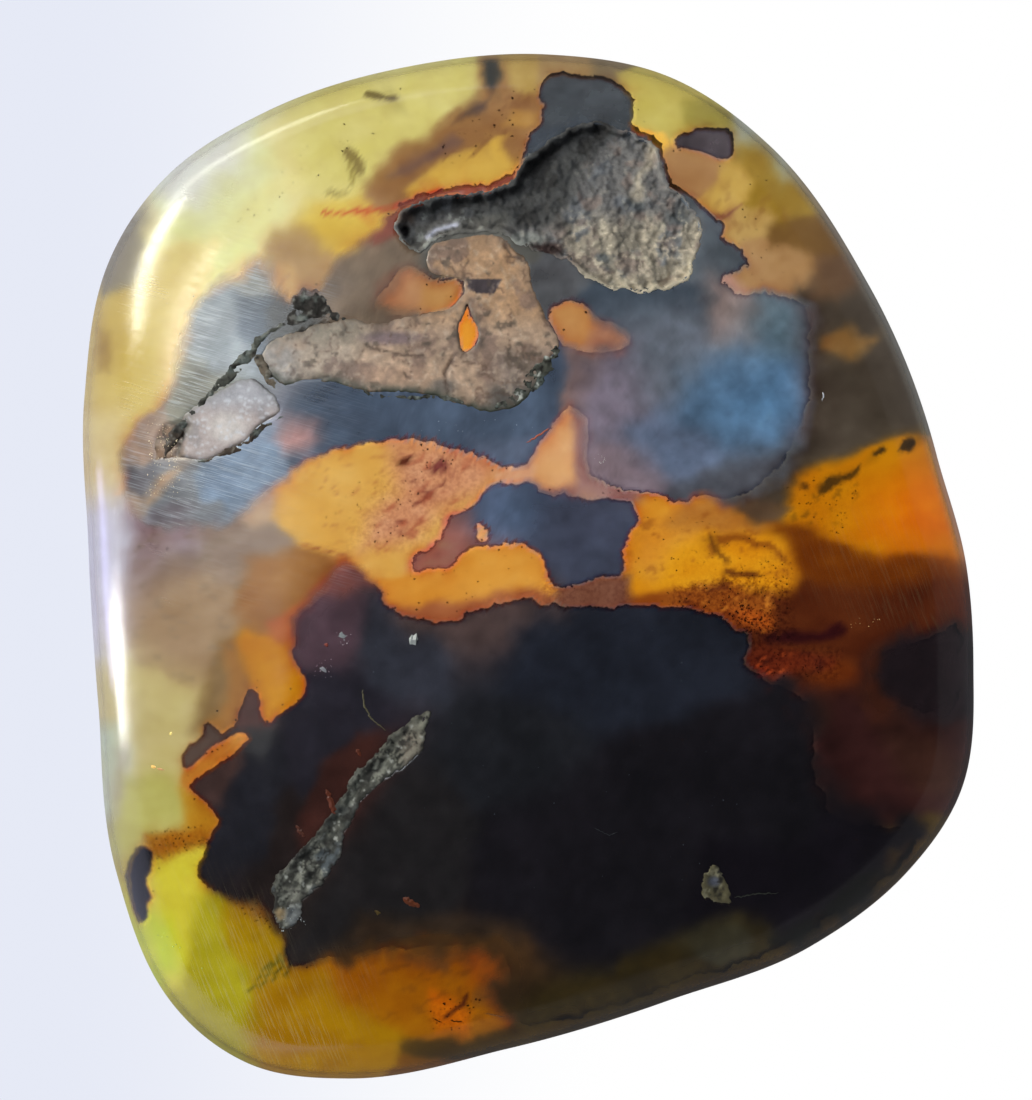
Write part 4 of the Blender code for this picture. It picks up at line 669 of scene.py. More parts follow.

# What the debris shows from above: name, colour as seen, share of light it scatters, softness
# of the edge, raggedness of the edge, outline. Each fades into its neighbours.
# Painted reflection: the three bluish rows round the calcite tongue carry the window mirrored in the
# scratched polish, painted into what the debris scatters.
SLATES = zones("""
top | #50555a 0.5 0.8 0.3 | 0.4,23.9 1.3,24.6 3.9,24.2 4.9,23.8 5.4,22.9 4.8,21.8 2.4,22.4 0.7,22.2
dark rim of the pit | #4c535c 0.5 0.5 0.2 | 0,20.6 1,21.4 2.6,22.3 3.9,22.1 4.9,21.6 3,21.4 0.6,20.4
right of the pit | #585f66 0.5 0.8 0.3 | 8.2,14.4 10.6,14.7 11.1,15.3 10,16 9.4,17 8.4,18.4 6.9,19.2 8.6,17
right foot of the pit | #3e4751 0.5 0.8 0.3 | 2.6,13.9 4.6,13.4 7.4,13.4 9,13.9 9.2,13.2 4.6,12.4 3,13.2
left foot of the pit | #57585b 0.5 0.6 0.3 | 0.2,15 1.2,15.4 2.4,14.8 3,13.8 1.6,13.3 0.6,13.4
left arm | #7b6855 0.5 0.9 0.3 | -9.8,13.2 -9.4,15 -7.6,16 -6.3,16.2 -5.4,15.6 -6.8,14.2 -8.2,12.8
between the pit and the calcite | #5c5b56 0.5 0.3 0.2 | -5.2,15.6 -4.8,16.5 -3.2,17.05 -1.2,17.05 -0.2,16.4
    0.3,15.2 -0.8,15.8 -1.8,16.5 -4.9,16.1
under the pit arm | #8a4839 0.5 0.6 0.3 | -7.4,16.3 -6.8,17.5 -6.3,18.4 -3.5,18.8 -1,19.3 -3,18.2
rosy left of the haze | #806761 0.5 1.0 0.4 | 1.9,10.4 3,10.5 3.4,9.2 3,8.2 2,8.3
haze left | #7c7381 0.5 2.0 0.5 | 2.9,10 5.4,10.6 5.4,8 4.8,6.4 3.4,6 2.9,8
haze middle | #676e79 0.5 2.4 0.5 | 4.8,12 7.6,12.8 9,11.6 8.4,9.4 6.2,8.6 5.4,9.6
rosy haze | #a48e87 0.5 1.8 0.5 | 9.3,14 10.4,13.6 11.2,12.6 10.6,11.6 9.5,11.8 9.2,13
blue haze top | #5a6f7b 0.5 2.6 0.6 | 11.4,13.4 13,13.4 13.6,12.2 13.5,10.6 11.6,10.4 10.8,11.4
blue haze | #567492 0.55 2.8 0.6 | 8.2,9 10.4,10.4 13,10.2 13.2,7.4 12,5.9 9.8,5.9 7.8,7
bright core of the haze | #4f7191 0.6 2.6 0.7 | 12.6,9.6 12.8,7.8 11.6,7 9.8,7.6 10.4,8.9
lower haze | #65738c 0.5 2.0 0.5 | 5.2,6.8 7.6,6.2 9.4,5 8,4.4 5.6,5
purple foot of the haze | #917e86 0.5 1.4 0.5 | 3.6,5.8 5.4,5.4 6.4,4 4.4,4.1 3.2,4.9
dark foot of the haze | #51535b 0.5 1.0 0.4 | 7,3.4 8.6,4 11.6,5 12.8,5.8 12,4.4 10.2,3.4 8.4,3.3
dark right edge | #504346 0.5 0.5 0.2 | 13.7,12.8 14.2,12.6 14.1,9 13.5,6.6 13.2,6.8 13.7,9
slate under the calcite | #4b586b 0.5 0.8 0.3 | -11.6,4.9 -10.5,5.7 -8,6.3 -5.2,6.4 -2.4,5.6 -0.9,4.9
    0.2,5.3 1.3,7.4 2,9.8 1.2,11 -1,8.6 -9,9.2 -11.4,8
its dark foot | #67738a 0.5 0.6 0.3 | -3,6.6 -0.8,6.2 0.6,6.6 0.2,5.2 -0.9,4.7 -2.4,5.4
mauve spot | #ba8a84 0.5 1.2 0.4 | -12.2,6.4 -11.6,7.3 -10.4,7.1 -10.1,6.4 -11,5.8 -12,5.9
scratched blue above | #949c9f 0.6 0.8 0.3 | -16.3,11 -15.7,13.1 -14.4,13 -13.8,12 -14.2,10.6 -15.6,10.2
its dark right | #4d5762 0.6 0.6 0.3 | -14.2,13.1 -12.8,13 -12.6,12.2 -13.6,11.2 -14.2,11.6
grey over the blue | #98978d 0.6 0.5 0.3 | -14.4,14.4 -14,14.9 -13,14.9 -12.8,14 -13.8,13.6
scratched blue left | #8a8a7c 0.6 0.6 0.3 | -17.2,9.4 -16.2,9.7 -15.4,9.6 -16.4,8.4 -17.8,7.4 -18.2,7.9
scratched blue below | #8096af 0.6 0.8 0.3 | -16.8,4.4 -15,4.9 -13.6,5.8 -12.6,6.6 -11.9,5.8 -12.4,4.8
    -13.8,3.8 -15,3.2 -16.4,3.4
grey left of it | #7d8085 0.55 0.9 0.3 | -19.4,3.2 -19.4,4.8 -17,4.8 -16.8,3.4 -15.6,2.9 -17,2.4 -19.2,2.4
tan streak in the left tip | #b29579 0.5 0.4 0.3 | -19.7,3.4 -18.4,4.3 -17.5,4.7 -18,3.9 -19.4,2.9
dark smudge of the left tip | #6a676b 0.55 0.5 0.4 | -19.9,4.4 -19,4.7 -18.6,4.2 -19.6,3.6
lower dark smudge | #6b646a 0.55 0.5 0.4 | -19.2,2.9 -18,3.2 -17,2.9 -17.6,2.4 -19,2.3
left tip | #a98f7d 0.55 0.5 0.3 | -19.8,5.4 -19.2,7.4 -18.4,8 -18.6,6.2 -19.2,5
grey under the black rock | #3c3933 0.5 0.4 0.2 | -12.8,12.8 -11.8,12.9 -11.4,12 -12.4,11.6
shoulder | #5b5358 0.4 0.5 0.2 | 7.2,20.9 8,21.7 9,21.7 9.8,21.1 9.2,20.6
island left | #81554f 0.4 1.4 0.3 | -5.8,0.1 -4.4,0.4 -3.2,1 -3,2.4 -4.2,2.2 -5.2,0.8
island blue | #566681 0.45 2.0 0.3 | -3,2.6 -1.7,4.2 0.4,4.1 1.4,3.4 0.6,2.2 -1.6,2 -2.6,2.2
island right | #404556 0.4 2.0 0.3 | 0.8,3.5 2.6,3.5 5.2,3 5.2,1.6 4.8,-0.2 2.6,-0.6 1,0.2 0.6,2
red of the island | #b2604a 0.4 0.5 0.4 | -5.3,0.6 -4.5,1.7 -4,1.8 -3.9,1.1 -4.8,0.4
lower left arm | #4a3840 0.3 1.8 0.4 | -11.6,-4.4 -11.4,-2.6 -9.8,-1.2 -8.6,-0.4 -8.2,-2.4 -9.6,-4.6
red dusk | #7c4841 0.35 0.9 0.4 | -9.9,-1 -9,-0.1 -8.4,-0.2 -8.7,-1.2 -9.4,-1.6
blue dusk | #2f313a 0.3 1.8 0.5 | -8,-1.6 -6.6,-3 -4.4,-3.6 -4.2,-6 -7.6,-5.6
dusk below the lobe | #4c3d3b 0.3 0.7 0.4 | -5.6,-2.75 -3,-2.45 -0.6,-1.85 1,-2.15 0.2,-2.5 -3,-2.9
    -5.4,-3.1
black right | #1e212a 0.3 2.0 0.5 | 0.4,-2.6 4.4,-2.4 9,-3 10,-6 4,-8 -1,-6
greenish black | #1d1e22 0.3 2.4 0.5 | -3,-6.4 3,-8.4 3.6,-11 -2.4,-12 -5,-9.4
plain black | #161418 0.3 2.0 0.5 | 4,-9 12.4,-7 13.6,-13.4 4,-19.4 -3,-17.6 -2,-13
black left of the vein | #202026 0.3 1.2 0.4 | -15.4,-8.4 -12.6,-8.4 -12,-10.4 -13.4,-14 -15.4,-14 -15,-11
dusk above the vein | #25232b 0.3 1.0 0.4 | -12,-6.2 -10,-5.6 -8,-6.2 -7.5,-7.4 -8.8,-8.2 -10.1,-9.7
    -11.4,-11.5 -12,-9.4
red by the vein | #3a201b 0.35 0.7 0.5 | -11.3,-13.4 -10.9,-11.9 -9.9,-10.2 -8.5,-8.7 -8.1,-8.9 -9.4,-10.6
    -10.5,-12.6
brown by the vein | #231c1b 0.3 1.2 0.5 | -13,-15.8 -12.8,-13.4 -12,-11.4 -11.2,-12 -12,-14.4
black below the vein | #201e1f 0.3 1.4 0.4 | -11,-18.6 -8,-14.4 -5,-10 -3,-13 -4,-18 -9,-18.8
stained foot | #2d240e 0.45 1.0 0.8 | 1.5,-22.6 3.5,-21.2 5,-20.4 7,-19.9 8.8,-19 9.8,-18.3 10.6,-17.7
    11.3,-17.6 11.9,-18.2 11.5,-19 11,-19.8 9,-20.5 7,-21.4 4.5,-22.3
its light patch | #373324 0.5 0.5 0.7 | 8.9,-18.7 10,-18.2 10.7,-17.8 11.4,-17.9 11.4,-18.7 10.6,-19.3
    9.4,-19.4
black round the chip | #100d12 0.3 1.2 0.5 | 8,-16.8 11,-17.1 13,-18 17.5,-15 18.8,-13.6 14.4,-13.6 9,-13.6
black foot | #0b0c0a 0.3 0.8 0.4 | 12.4,-18.6 14,-17.8 17.5,-15.2 16.5,-16.6 14,-18.2
brown above the burnt foot | #35281d 0.4 1.2 0.5 | -9.5,-18.9 -8,-17.4 -3,-17.2 -0.8,-18.4 -1.8,-18.7
    -4.5,-18.8 -8,-19.1
its brown border | #422c16 0.4 0.5 0.4 | -8.8,-19.3 -7.6,-18.7 -4,-18.3 -1.2,-18.3 -0.6,-19 -1.8,-18.9
    -4.5,-19 -8,-19.4
flame by the left arm | #52423a 0.4 0.4 0.4 | -17.3,-10 -17.2,-9.2 -16.1,-8.2 -15.7,-7.5 -14.8,-8.1
    -15.6,-8.9 -16.4,-9.8
dark prong | #482b29 0.4 0.4 0.3 | -14.4,-8.1 -14.2,-6.4 -13.6,-5.9 -13.2,-6.4 -13.3,-7.3 -13.6,-8.2
brown behind it | #43312e 0.4 0.5 0.4 | -16.9,-11.2 -16.4,-10.6 -15,-9.6 -14,-8.8 -14.4,-10.2 -15.6,-11.6
fang | #0e0d0e 0.35 0.6 0.2 | -19,-13.8 -18.6,-14.3 -18.8,-16.5 -19.1,-17.8 -19.8,-16.4 -19.6,-14.2
rim black | #1d1518 0.3 1.0 0.4 | 21.4,-2.8 17.4,-4.3 16.9,-5.6 18.4,-6.9 21.4,-7.4
brown left of the rim black | #3a1b10 0.3 0.5 0.4 | 16,-4.6 17.2,-4.2 17.3,-5.4 18.1,-6.8 17.2,-7.2
    16.2,-5.9
""")

# Where the amber is full of tiny grains: strength, softness, outline
GRANULAR = zones("""
0.9 0.6 | 7,-1 9.4,-0.5 10.4,-0.2 11.6,-0.6 13,-0.8 13.2,-3.4 12.6,-5.9 11,-5.6 10.8,-4 9.8,-2.5 7,-1.9
0.25 0.8 | 11,0.8 13,0.6 13.1,-1.2 11,-0.8
0.8 0.6 | 13,-3.8 15.6,-4 15.4,-5.6 13,-5.8
0.35 1.2 | -9,0.8 -6.6,6 -2.4,5.6 -2,4 -5.6,0.8
0.12 1.5 | 5,-1.2 5,2.6 9,2.9 13,0.8 13,-1 8,-1
0.12 1.5 | 12.4,3.6 15,5 17,4 15,1.6 12.6,2.2
0.5 0.8 | 0.6,-0.6 5,-0.2 5,-1.9 0.4,-1.9
0.4 1.0 | -19.2,-13.4 -16,-12.9 -15.8,-14 -18.6,-14.8
0.4 1.0 | -14.6,-16.4 -12.4,-17.2 -12.2,-18.4 -13.6,-17.6
0.35 1.0 | -5,-21.6 -2.4,-21.4 -2.6,-23.2 -5,-23
""")

# How strongly the polish is brushed along flat lines and combed along steep ones, the same way
BRUSHED = zones("""
1.0 1.0 | -16.6,15.4 -12.8,15.2 -12.4,12.4 -13.6,10.4 -16,8.4 -18.2,7.4 -17.2,10
1.0 1.2 | -17.6,5.2 -13.6,7 -11.4,6.2 -12.6,3.6 -16.6,2.4 -18,3.4
0.5 3.0 | -22,8 -20,17 -16,20 -12,18 -8,10 -8,0 -18,-4
""")
COMBED = zones("""
1.0 1.6 | -16.6,-16.8 -13.2,-17.4 -11.2,-20.4 -9,-24.6 -13.6,-25.2 -16.6,-21.6
0.22 3.0 | -19.4,-13.8 -12,-16 -8,-20 -9,-25 -18,-23
0.06 2.5 | 13,1.6 19,3 21.6,0 20.6,-4 14,-1
""")


def panel(azimuth, elevation, wide, high, distance):
    """Ends of the middle line and width of a panel given by its angles, in degrees."""
    a, e = math.radians(azimuth), math.radians(elevation)
    middle = np.array([math.cos(a) * math.cos(e), math.sin(a) * math.cos(e), math.sin(e)])
    middle = middle * distance + np.array([0, 0, 10])
    half = np.array([-math.sin(a), math.cos(a), 0]) * distance * math.tan(math.radians(wide) / 2)
    return middle - half, middle + half, 2 * distance * math.tan(math.radians(high) / 2)


# Lamps, in millimetres: name, the ends of the middle line, width, place it faces, brightness,
# colour, whether the polish mirrors it. The last five are strips whose highlights lie on the rim.
LAMPS = [
    ("fill", *panel(150, 54, 44, 40, 800), (0, 0, 10), 2.3, (0.93, 0.96, 1.0), False),
    ("window", *panel(152, 50, 18, 20, 800), (0, 0, 10), 2.2, (0.80, 0.90, 1.0), True),
    ("window_soft", *panel(150, 49, 32, 30, 850), (0, 0, 10), 1.3, (0.86, 0.93, 1.0), True),
    ("window_wide", *panel(146, 44, 56, 46, 900), (0, 0, 10), 0.7, (0.98, 0.98, 0.92), True),
    ("streak_high", (-92.6, 82.5, 72.9), (-121.3, 19.6, 69.5), 3.6, (-17.2, 12.5, 9.4), 46.0,
     (1.0, 0.94, 0.76), True),
    ("streak_low", (-57.5, 55.4, 2.6), (-72.3, 22.8, 18.8), 8.0, (-18.6, 15.9, 7.6), 26.0,
     (1.0, 1.0, 0.90), True),
    ("rim_shine", (-76.0, -6.3, 0.6), (-38.0, -6.3, 0.6), 6.5, (-57.0, -6.3, 50.0), 24.0,
     (0.97, 0.97, 1.0), True),
    ("rim_violet", (-34.5, -7.0, 0.6), (-34.5, 4.5, 0.6), 6.0, (-34.5, -1.2, 50.0), 6.5,
     (0.52, 0.52, 1.0), True),
    ("cream_glow", (-40.0, 36.0, 0.6), (-22.0, 58.0, 0.6), 16.0, (-31.0, 47.0, 50.0), 3.8,
     (1.0, 1.0, 0.86), True),
]
DIM_WORLD = np.array([0.10, 0.115, 0.14])
BACKLIGHT_LEFT = np.array([0.79, 0.82, 0.92])
BACKLIGHT_RIGHT = np.array([1.0, 1.0, 1.0])
PASSED_AT_SURFACES = 0.91
ABSORBED_PER_M = np.array([3.0, 6.0, 45.0])


def lit(x, y):
    """How bright a white matt surface looks at a place on the dome."""
    slope_x, slope_y = slopes(dome_z, x, y)
    length = np.sqrt(slope_x**2 + slope_y**2 + 1)
    normal = np.column_stack([-slope_x, -slope_y, np.ones(len(x))]) / length[:, None]
    here = np.column_stack([x, y, dome_z(x, y)])
    up = normal[:, 2]
    total = np.outer(0.5 * (1 + up), DIM_WORLD) + np.outer(0.5 * (1 - up), BACKLIGHT_RIGHT)
    for _, start, end, width, target, radiance, colour, _ in LAMPS:
        start, end, target = np.array(start), np.array(end), np.array(target)
        middle = (start + end) / 2
        way = middle - here
        far = np.linalg.norm(way, axis=1)
        faces = (target - middle) / np.linalg.norm(target - middle)
        falls = np.clip(np.sum(way * normal, axis=1) / far, 0, None)
        leaves = np.clip(-(way @ faces) / far, 0, None)
        size = np.linalg.norm(end - start) * width
        total = total + np.outer(falls * leaves * size * radiance / (math.pi * far**2), colour)
    return np.maximum(total, 0.1)


def light_through(x, y, z):
    """Light of the pale floor that comes up through the stone from z to the dome at x, y."""
    part = smooth((x + 25.0) / 30.0)[:, None]
    backlight = BACKLIGHT_LEFT * (1 - part) + BACKLIGHT_RIGHT * part
    depth = np.maximum(dome_z(x, y) - z, 0.0) * MM
    return backlight * (np.exp(-ABSORBED_PER_M * depth[:, None]) * PASSED_AT_SURFACES)


# Debris: node, slot, colour, outline, windows
DEBRIS = [
    ("upper_debris", "slate_debris", "#282c34", UPPER_DEBRIS, [LEFT_WINDOW, RIGHT_WINDOW, DROP_WINDOW]),
    ("shoulder_debris", "black_debris", "#1c1a1e", SHOULDER_DEBRIS, []),
    ("island_debris", "slate_debris", "#22263a", ISLAND_DEBRIS, [NOTCH_WINDOW]),
    ("lower_debris", "black_debris", "#121216", LOWER_DEBRIS, []),
    ("fang_debris", "black_debris", "#1a1a20", FANG_DEBRIS, []),
    ("rim_debris", "black_debris", "#121216", RIM_DEBRIS, []),
]
# The same outlines and windows as nature tore them. The left arms of the lower debris stay finer.
TORN = [
    (ragged(border, 0.10, 0.26, 1.2, 100 + number, 1, -0.4 if border is LOWER_DEBRIS else 0.0),
     [ragged(hole, 0.08, 0.15, 0.9, 200 + number) for hole in holes])
    for number, (_, _, _, border, holes) in enumerate(DEBRIS)
]


def debris_distance(x, y):
    """Distance inside the nearest debris as seen from above, negative beside it."""
    return np.max([distance_between(x, y, *torn) for torn in TORN], axis=0)


# Places where debris fades softly into the amber: x, y, reach, width of the fading
SOFT_EDGES = places("""
    19.5,-5,3.5,0.9 15.5,-12.5,4,1.1 -6,-19.2,4,0.7 -1.2,-20.5,2.5,0.6 -13.4,-16.6,2,0.5 14.2,10.5,3.4,0.8
    13,5,2.6,0.7 -10.8,-1.8,2,0.5 3,9,2,0.5 -13,3.8,2.4,0.45 -17,2.4,2.2,0.5 -19.6,5,2.4,0.4
    -16.4,11.5,3,0.5 -13.8,14.6,1.8,0.6 -8.6,15.2,2.2,0.4 14,-8,3,0.9 9.6,3.2,1.8,0.4 6,-21.5,5,0.8
    14.5,-17.5,4.5,0.9 -7.4,13.6,1.5,0.45 4.8,11.4,1.8,0.75 3,6.5,1.5,0.35 -3,-18.9,3.5,0.6 -9,-0.9,1.4,0.35
    1.6,4.4,1.6,0.25 -6,15.6,1.6,0.3 -7.4,12.3,1.4,0.5 14.2,-8.8,2.4,1
""")
# Places where the clear amber scatters light, a painted reflection of the lamps: x, y, reach, share of
# light it scatters
REFLECTION_HAZE = places("-16,19.6,3.4,0.4 -20.6,-7.5,2.6,0.3 -20.8,1,3,0.25 -12.8,22.4,2.6,0.3")


def softness(x, y):
    """How softly debris fades into the amber at a place."""
    extra = np.zeros(len(x))
    for u, v, reach, much in SOFT_EDGES:
        extra = extra + much * glow(x, y, u, v, reach)
    return np.minimum(extra, 1.1)


def fading(x, y):
    """How wide the burnt seam beside the debris is."""
    return 0.10 + 0.22 * smooth(0.5 + 0.8 * cloud(x, y, 1.6, 64)) + 0.8 * softness(x, y)


def warped(x, y, seed):
    """Places shifted a little, so that drawn outlines run as in grown matter."""
    u = x + 0.40 * cloud(x, y, 3.2, seed, 3) + 0.10 * cloud(x, y, 0.7, seed + 5, 3)
    v = y + 0.40 * cloud(x, y, 3.2, seed + 9, 3) + 0.10 * cloud(x, y, 0.7, seed + 13, 3)
    return u, v


def patchwork(x, y, shifted, patches, seed, near, fall, spread):
    """Patches of values, softness, raggedness and outline, laid over what they fade into between them."""
    total = 0.0
    weights = 0.0
    laid = []
    for number, (values, blur, rough, outline) in enumerate(patches):
        distance = distance_inside(*shifted, outline)
        weight = (np.maximum(-distance, 0.0) + near(blur)) ** fall
        total = total + values * weight[:, None]
        weights = weights + weight
        shift = rough * cloud(x, y, 1.0 + 2.0 * rough, seed + number, 5)
        laid.append((values, smooth((distance + 0.6 * shift) / (spread * blur) + 0.5)[:, None]))
    seen = total / weights[:, None]
    for values, weight in laid:
        seen = seen * (1 - weight) + values * weight
    return seen


# Smoky specks drawn out along a line: colour, strength, share covered, length and width of a speck,
# angle in degrees, softness of the zone's edge, outline
SMOKY = zones("""
#a4583e 0.75 0.3 0.9 0.26 38 1.0 | -8.8,0.7 -7.2,3.2 -6.6,6.2 -4.2,6.2 -2,5.2 -3.4,2.8 -5.6,0.8
#70342c 0.8 0.16 0.8 0.34 38 0.7 | -8.4,0.8 -6.6,3.6 -6.2,5.9 -3.6,5.6 -3.4,4.2 -6,1.6
#a8683a 0.5 0.22 0.4 0.3 0 1.0 | -11,1.6 -11,5 -7,5.8 -6.8,0.8
#8a4a16 0.6 0.26 0.5 0.34 10 0.8 | 5,0.4 5.4,2.6 9,2.8 12.6,1.2 13,-0.8 9.6,-0.4 6.2,-0.6
#4a1c0c 0.75 0.36 0.5 0.3 -15 0.6 | 6.4,-1.1 9.6,-0.5 11.4,-0.5 13,-1.2 12.4,-3.4 10.8,-3.4 9.6,-2.4 7,-1.8
#e09030 0.6 0.2 0.4 0.3 -15 0.5 | 7.4,-1.1 9.6,-0.5 12,-1 12.4,-3.3 10.6,-3.2 9.6,-2.3
#2c0c0a 0.8 0.34 0.5 0.36 -10 0.6 | 11,-4.2 13.8,-4.2 15,-4.8 13.6,-5.5 11.4,-5.4
#d0602a 0.8 0.26 0.35 0.3 -10 0.4 | 10.9,-4.6 11.6,-4 12.9,-4.3 12.6,-5.6 11.4,-5.4
#6a4208 0.6 0.24 0.45 0.3 70 0.8 | 12.6,2.2 12.8,4.2 15.2,5 16.6,3.8 15.4,1.6
#7c5236 0.5 0.3 0.9 0.4 45 0.8 | -7.8,17.9 -2.4,24 0.4,23.6 -0.8,20.8 -4.6,19.6
#8e6450 0.45 0.3 0.8 0.5 30 0.8 | -13,15.8 -9,16 -9.4,14 -12.2,13.2
#7a6a58 0.4 0.35 0.8 0.5 0 1.2 | -19.6,2.2 -14.6,2.2 -13,-2 -16,-6 -19.8,-4
#6c3c10 0.45 0.3 0.9 0.35 20 1.0 | -9.8,-19.7 -1.6,-19 -1.4,-22.6 -7,-23.2
#5a3c10 0.5 0.3 0.5 0.3 0 0.6 | -19,-13.4 -16,-12.9 -15.9,-13.9 -18.4,-14.7
#7a5c18 0.5 0.3 0.5 0.35 0 0.8 | -15.2,-16.2 -12.6,-16.6 -12,-18.4 -14.4,-18.6
#8c6234 0.4 0.3 0.9 0.6 60 1.0 | 8.8,18.8 11.6,19.6 13.8,16 10.8,14 9.6,16.4
""")


def smoky(x, y, seen):
    """A colour with the smoky specks laid over it."""
    for number, (colour, much, covered, long, wide, angle, blur, outline) in enumerate(SMOKY):
        turn = math.radians(angle)
        along = (x * math.cos(turn) + y * math.sin(turn)) / long
        across = (y * math.cos(turn) - x * math.sin(turn)) / wide
        specks = smooth((cloud(along, across, 1.0, 800 + number, 3, 0.6) - 0.75 + 1.5 * covered) / 0.45)
        zone = smooth(distance_inside(x, y, outline) / blur + 0.5)
        seen = layered(seen, (colour, much * specks * zone))
    return seen


def amber_colour(x, y, near_debris):
    """The colour seen through the stone."""
    u, v = warped(x, y, 41)
    patches = [(code(colour), *rest) for _, colour, *rest in AMBER_COLOURS]
    seen = patchwork(x, y, (u, v), patches, 500, lambda blur: 0.35, -3.5, 1.3)
    seen = smoky(x, y, np.clip(seen, 0.01, 1))
    for colour, start, end, line in PAINTED_MARKS:
        width = (start + end) / 4 * (1 + 0.6 * cloud(x, y, 0.5, 66))
        seen = layered(seen, (colour, smooth((width - distance_to_line(u, v, line)) / 0.22 + 0.5)))
    thick = 1 + 0.10 * cloud(x, y, 4.0, 61) + 0.10 * cloud(0.5 * x + y, y - 0.8 * x, 1.3, 62)
    seen = seen ** thick[:, None]
    away = np.maximum(-near_debris, 0.0)
    seam = np.exp(-away / fading(x, y)) * np.clip(0.7 + 0.7 * cloud(x, y, 0.9, 63, 5), 0.1, 1)
    seam = seam[:, None]
    seen = seen * (1 - seam) + (seen ** 1.6 * np.array([0.92, 0.66, 0.66])) * seam
    return unsrgb(np.clip(seen, 0, 1))


def slates(x, y):
    """What the debris shows from above: colour and share of scattered light."""
    patches = [(np.append(code(colour), power), *rest) for _, colour, power, *rest in SLATES]
    seen = patchwork(x, y, warped(x, y, 71), patches, 700, lambda blur: 0.5 * blur, -4.0, 1.4)
    shade = 1 + 0.16 * cloud(x, y, 2.6, 75) + 0.10 * cloud(x, y, 0.6, 76)
    return unsrgb(np.clip(seen[:, :3] * shade[:, None], 0, 1)), seen[:, 3]


# Node building

def material(name):
    made = bpy.data.materials.new(name)
    made.use_nodes = True
    tree = made.node_tree
    return made, tree, tree.nodes["Principled BSDF"]


def node(tree, kind, settings=None, **inputs):
    """A node with its inputs, by name or as i0, i1 and so on, set to values or linked to sockets."""
    made = tree.nodes.new(kind)
    for key, value in (settings or {}).items():
        setattr(made, key, value)
    for key, value in inputs.items():
        socket = made.inputs[int(key[1:])] if key[0] == "i" and key[1:].isdigit() else made.inputs[key]
        if isinstance(value, bpy.types.NodeSocket):
            tree.links.new(value, socket)
        else:
            socket.default_value = value
    return made


def attribute(tree, name, socket="Fac"):
    return node(tree, "ShaderNodeAttribute", {"attribute_name": name}).outputs[socket]


def calc(tree, operation, *values):
    inputs = {f"i{index}": value for index, value in enumerate(values)}
    return node(tree, "ShaderNodeMath", {"operation": operation}, **inputs).outputs[0]


def ramp(tree, value, low, high, out_low=0.0, out_high=1.0):
    return node(tree, "ShaderNodeMapRange", {"interpolation_type": "SMOOTHSTEP"}, i0=value, i1=low,
                i2=high, i3=out_low, i4=out_high).outputs[0]


def grain(tree, scale, detail=3.0, stretch=(1, 1, 1), turn=0.0, rough=0.5):
    """Noise in the object's own space; scale is features per metre."""
    place = node(tree, "ShaderNodeTexCoord").outputs["Object"]
    mapped = node(tree, "ShaderNodeMapping", {"vector_type": "TEXTURE"}, Vector=place,
                  Rotation=(0, 0, turn), Scale=tuple(1 / part for part in stretch))
    made = node(tree, "ShaderNodeTexNoise", Vector=mapped.outputs[0], Scale=scale, Detail=detail,
                Roughness=rough)
    return made.outputs[0]


def bump(tree, height, strength, distance, **normal):
    return node(tree, "ShaderNodeBump", Height=height, Strength=strength, Distance=distance,
                **normal).outputs[0]


def mixed(tree, kind, factor, a, b):
    return node(tree, "ShaderNodeMix", {"data_type": "RGBA", "blend_type": kind}, i0=factor, i6=a,
                i7=b).outputs[2]


def shaded(tree, tint, red, others):
    """A colour with its red and its other parts each multiplied by a value."""
    shade = node(tree, "ShaderNodeCombineXYZ", i0=red, i1=others, i2=others).outputs[0]
    return mixed(tree, "MULTIPLY", 1.0, tint, shade)


# The clear amber

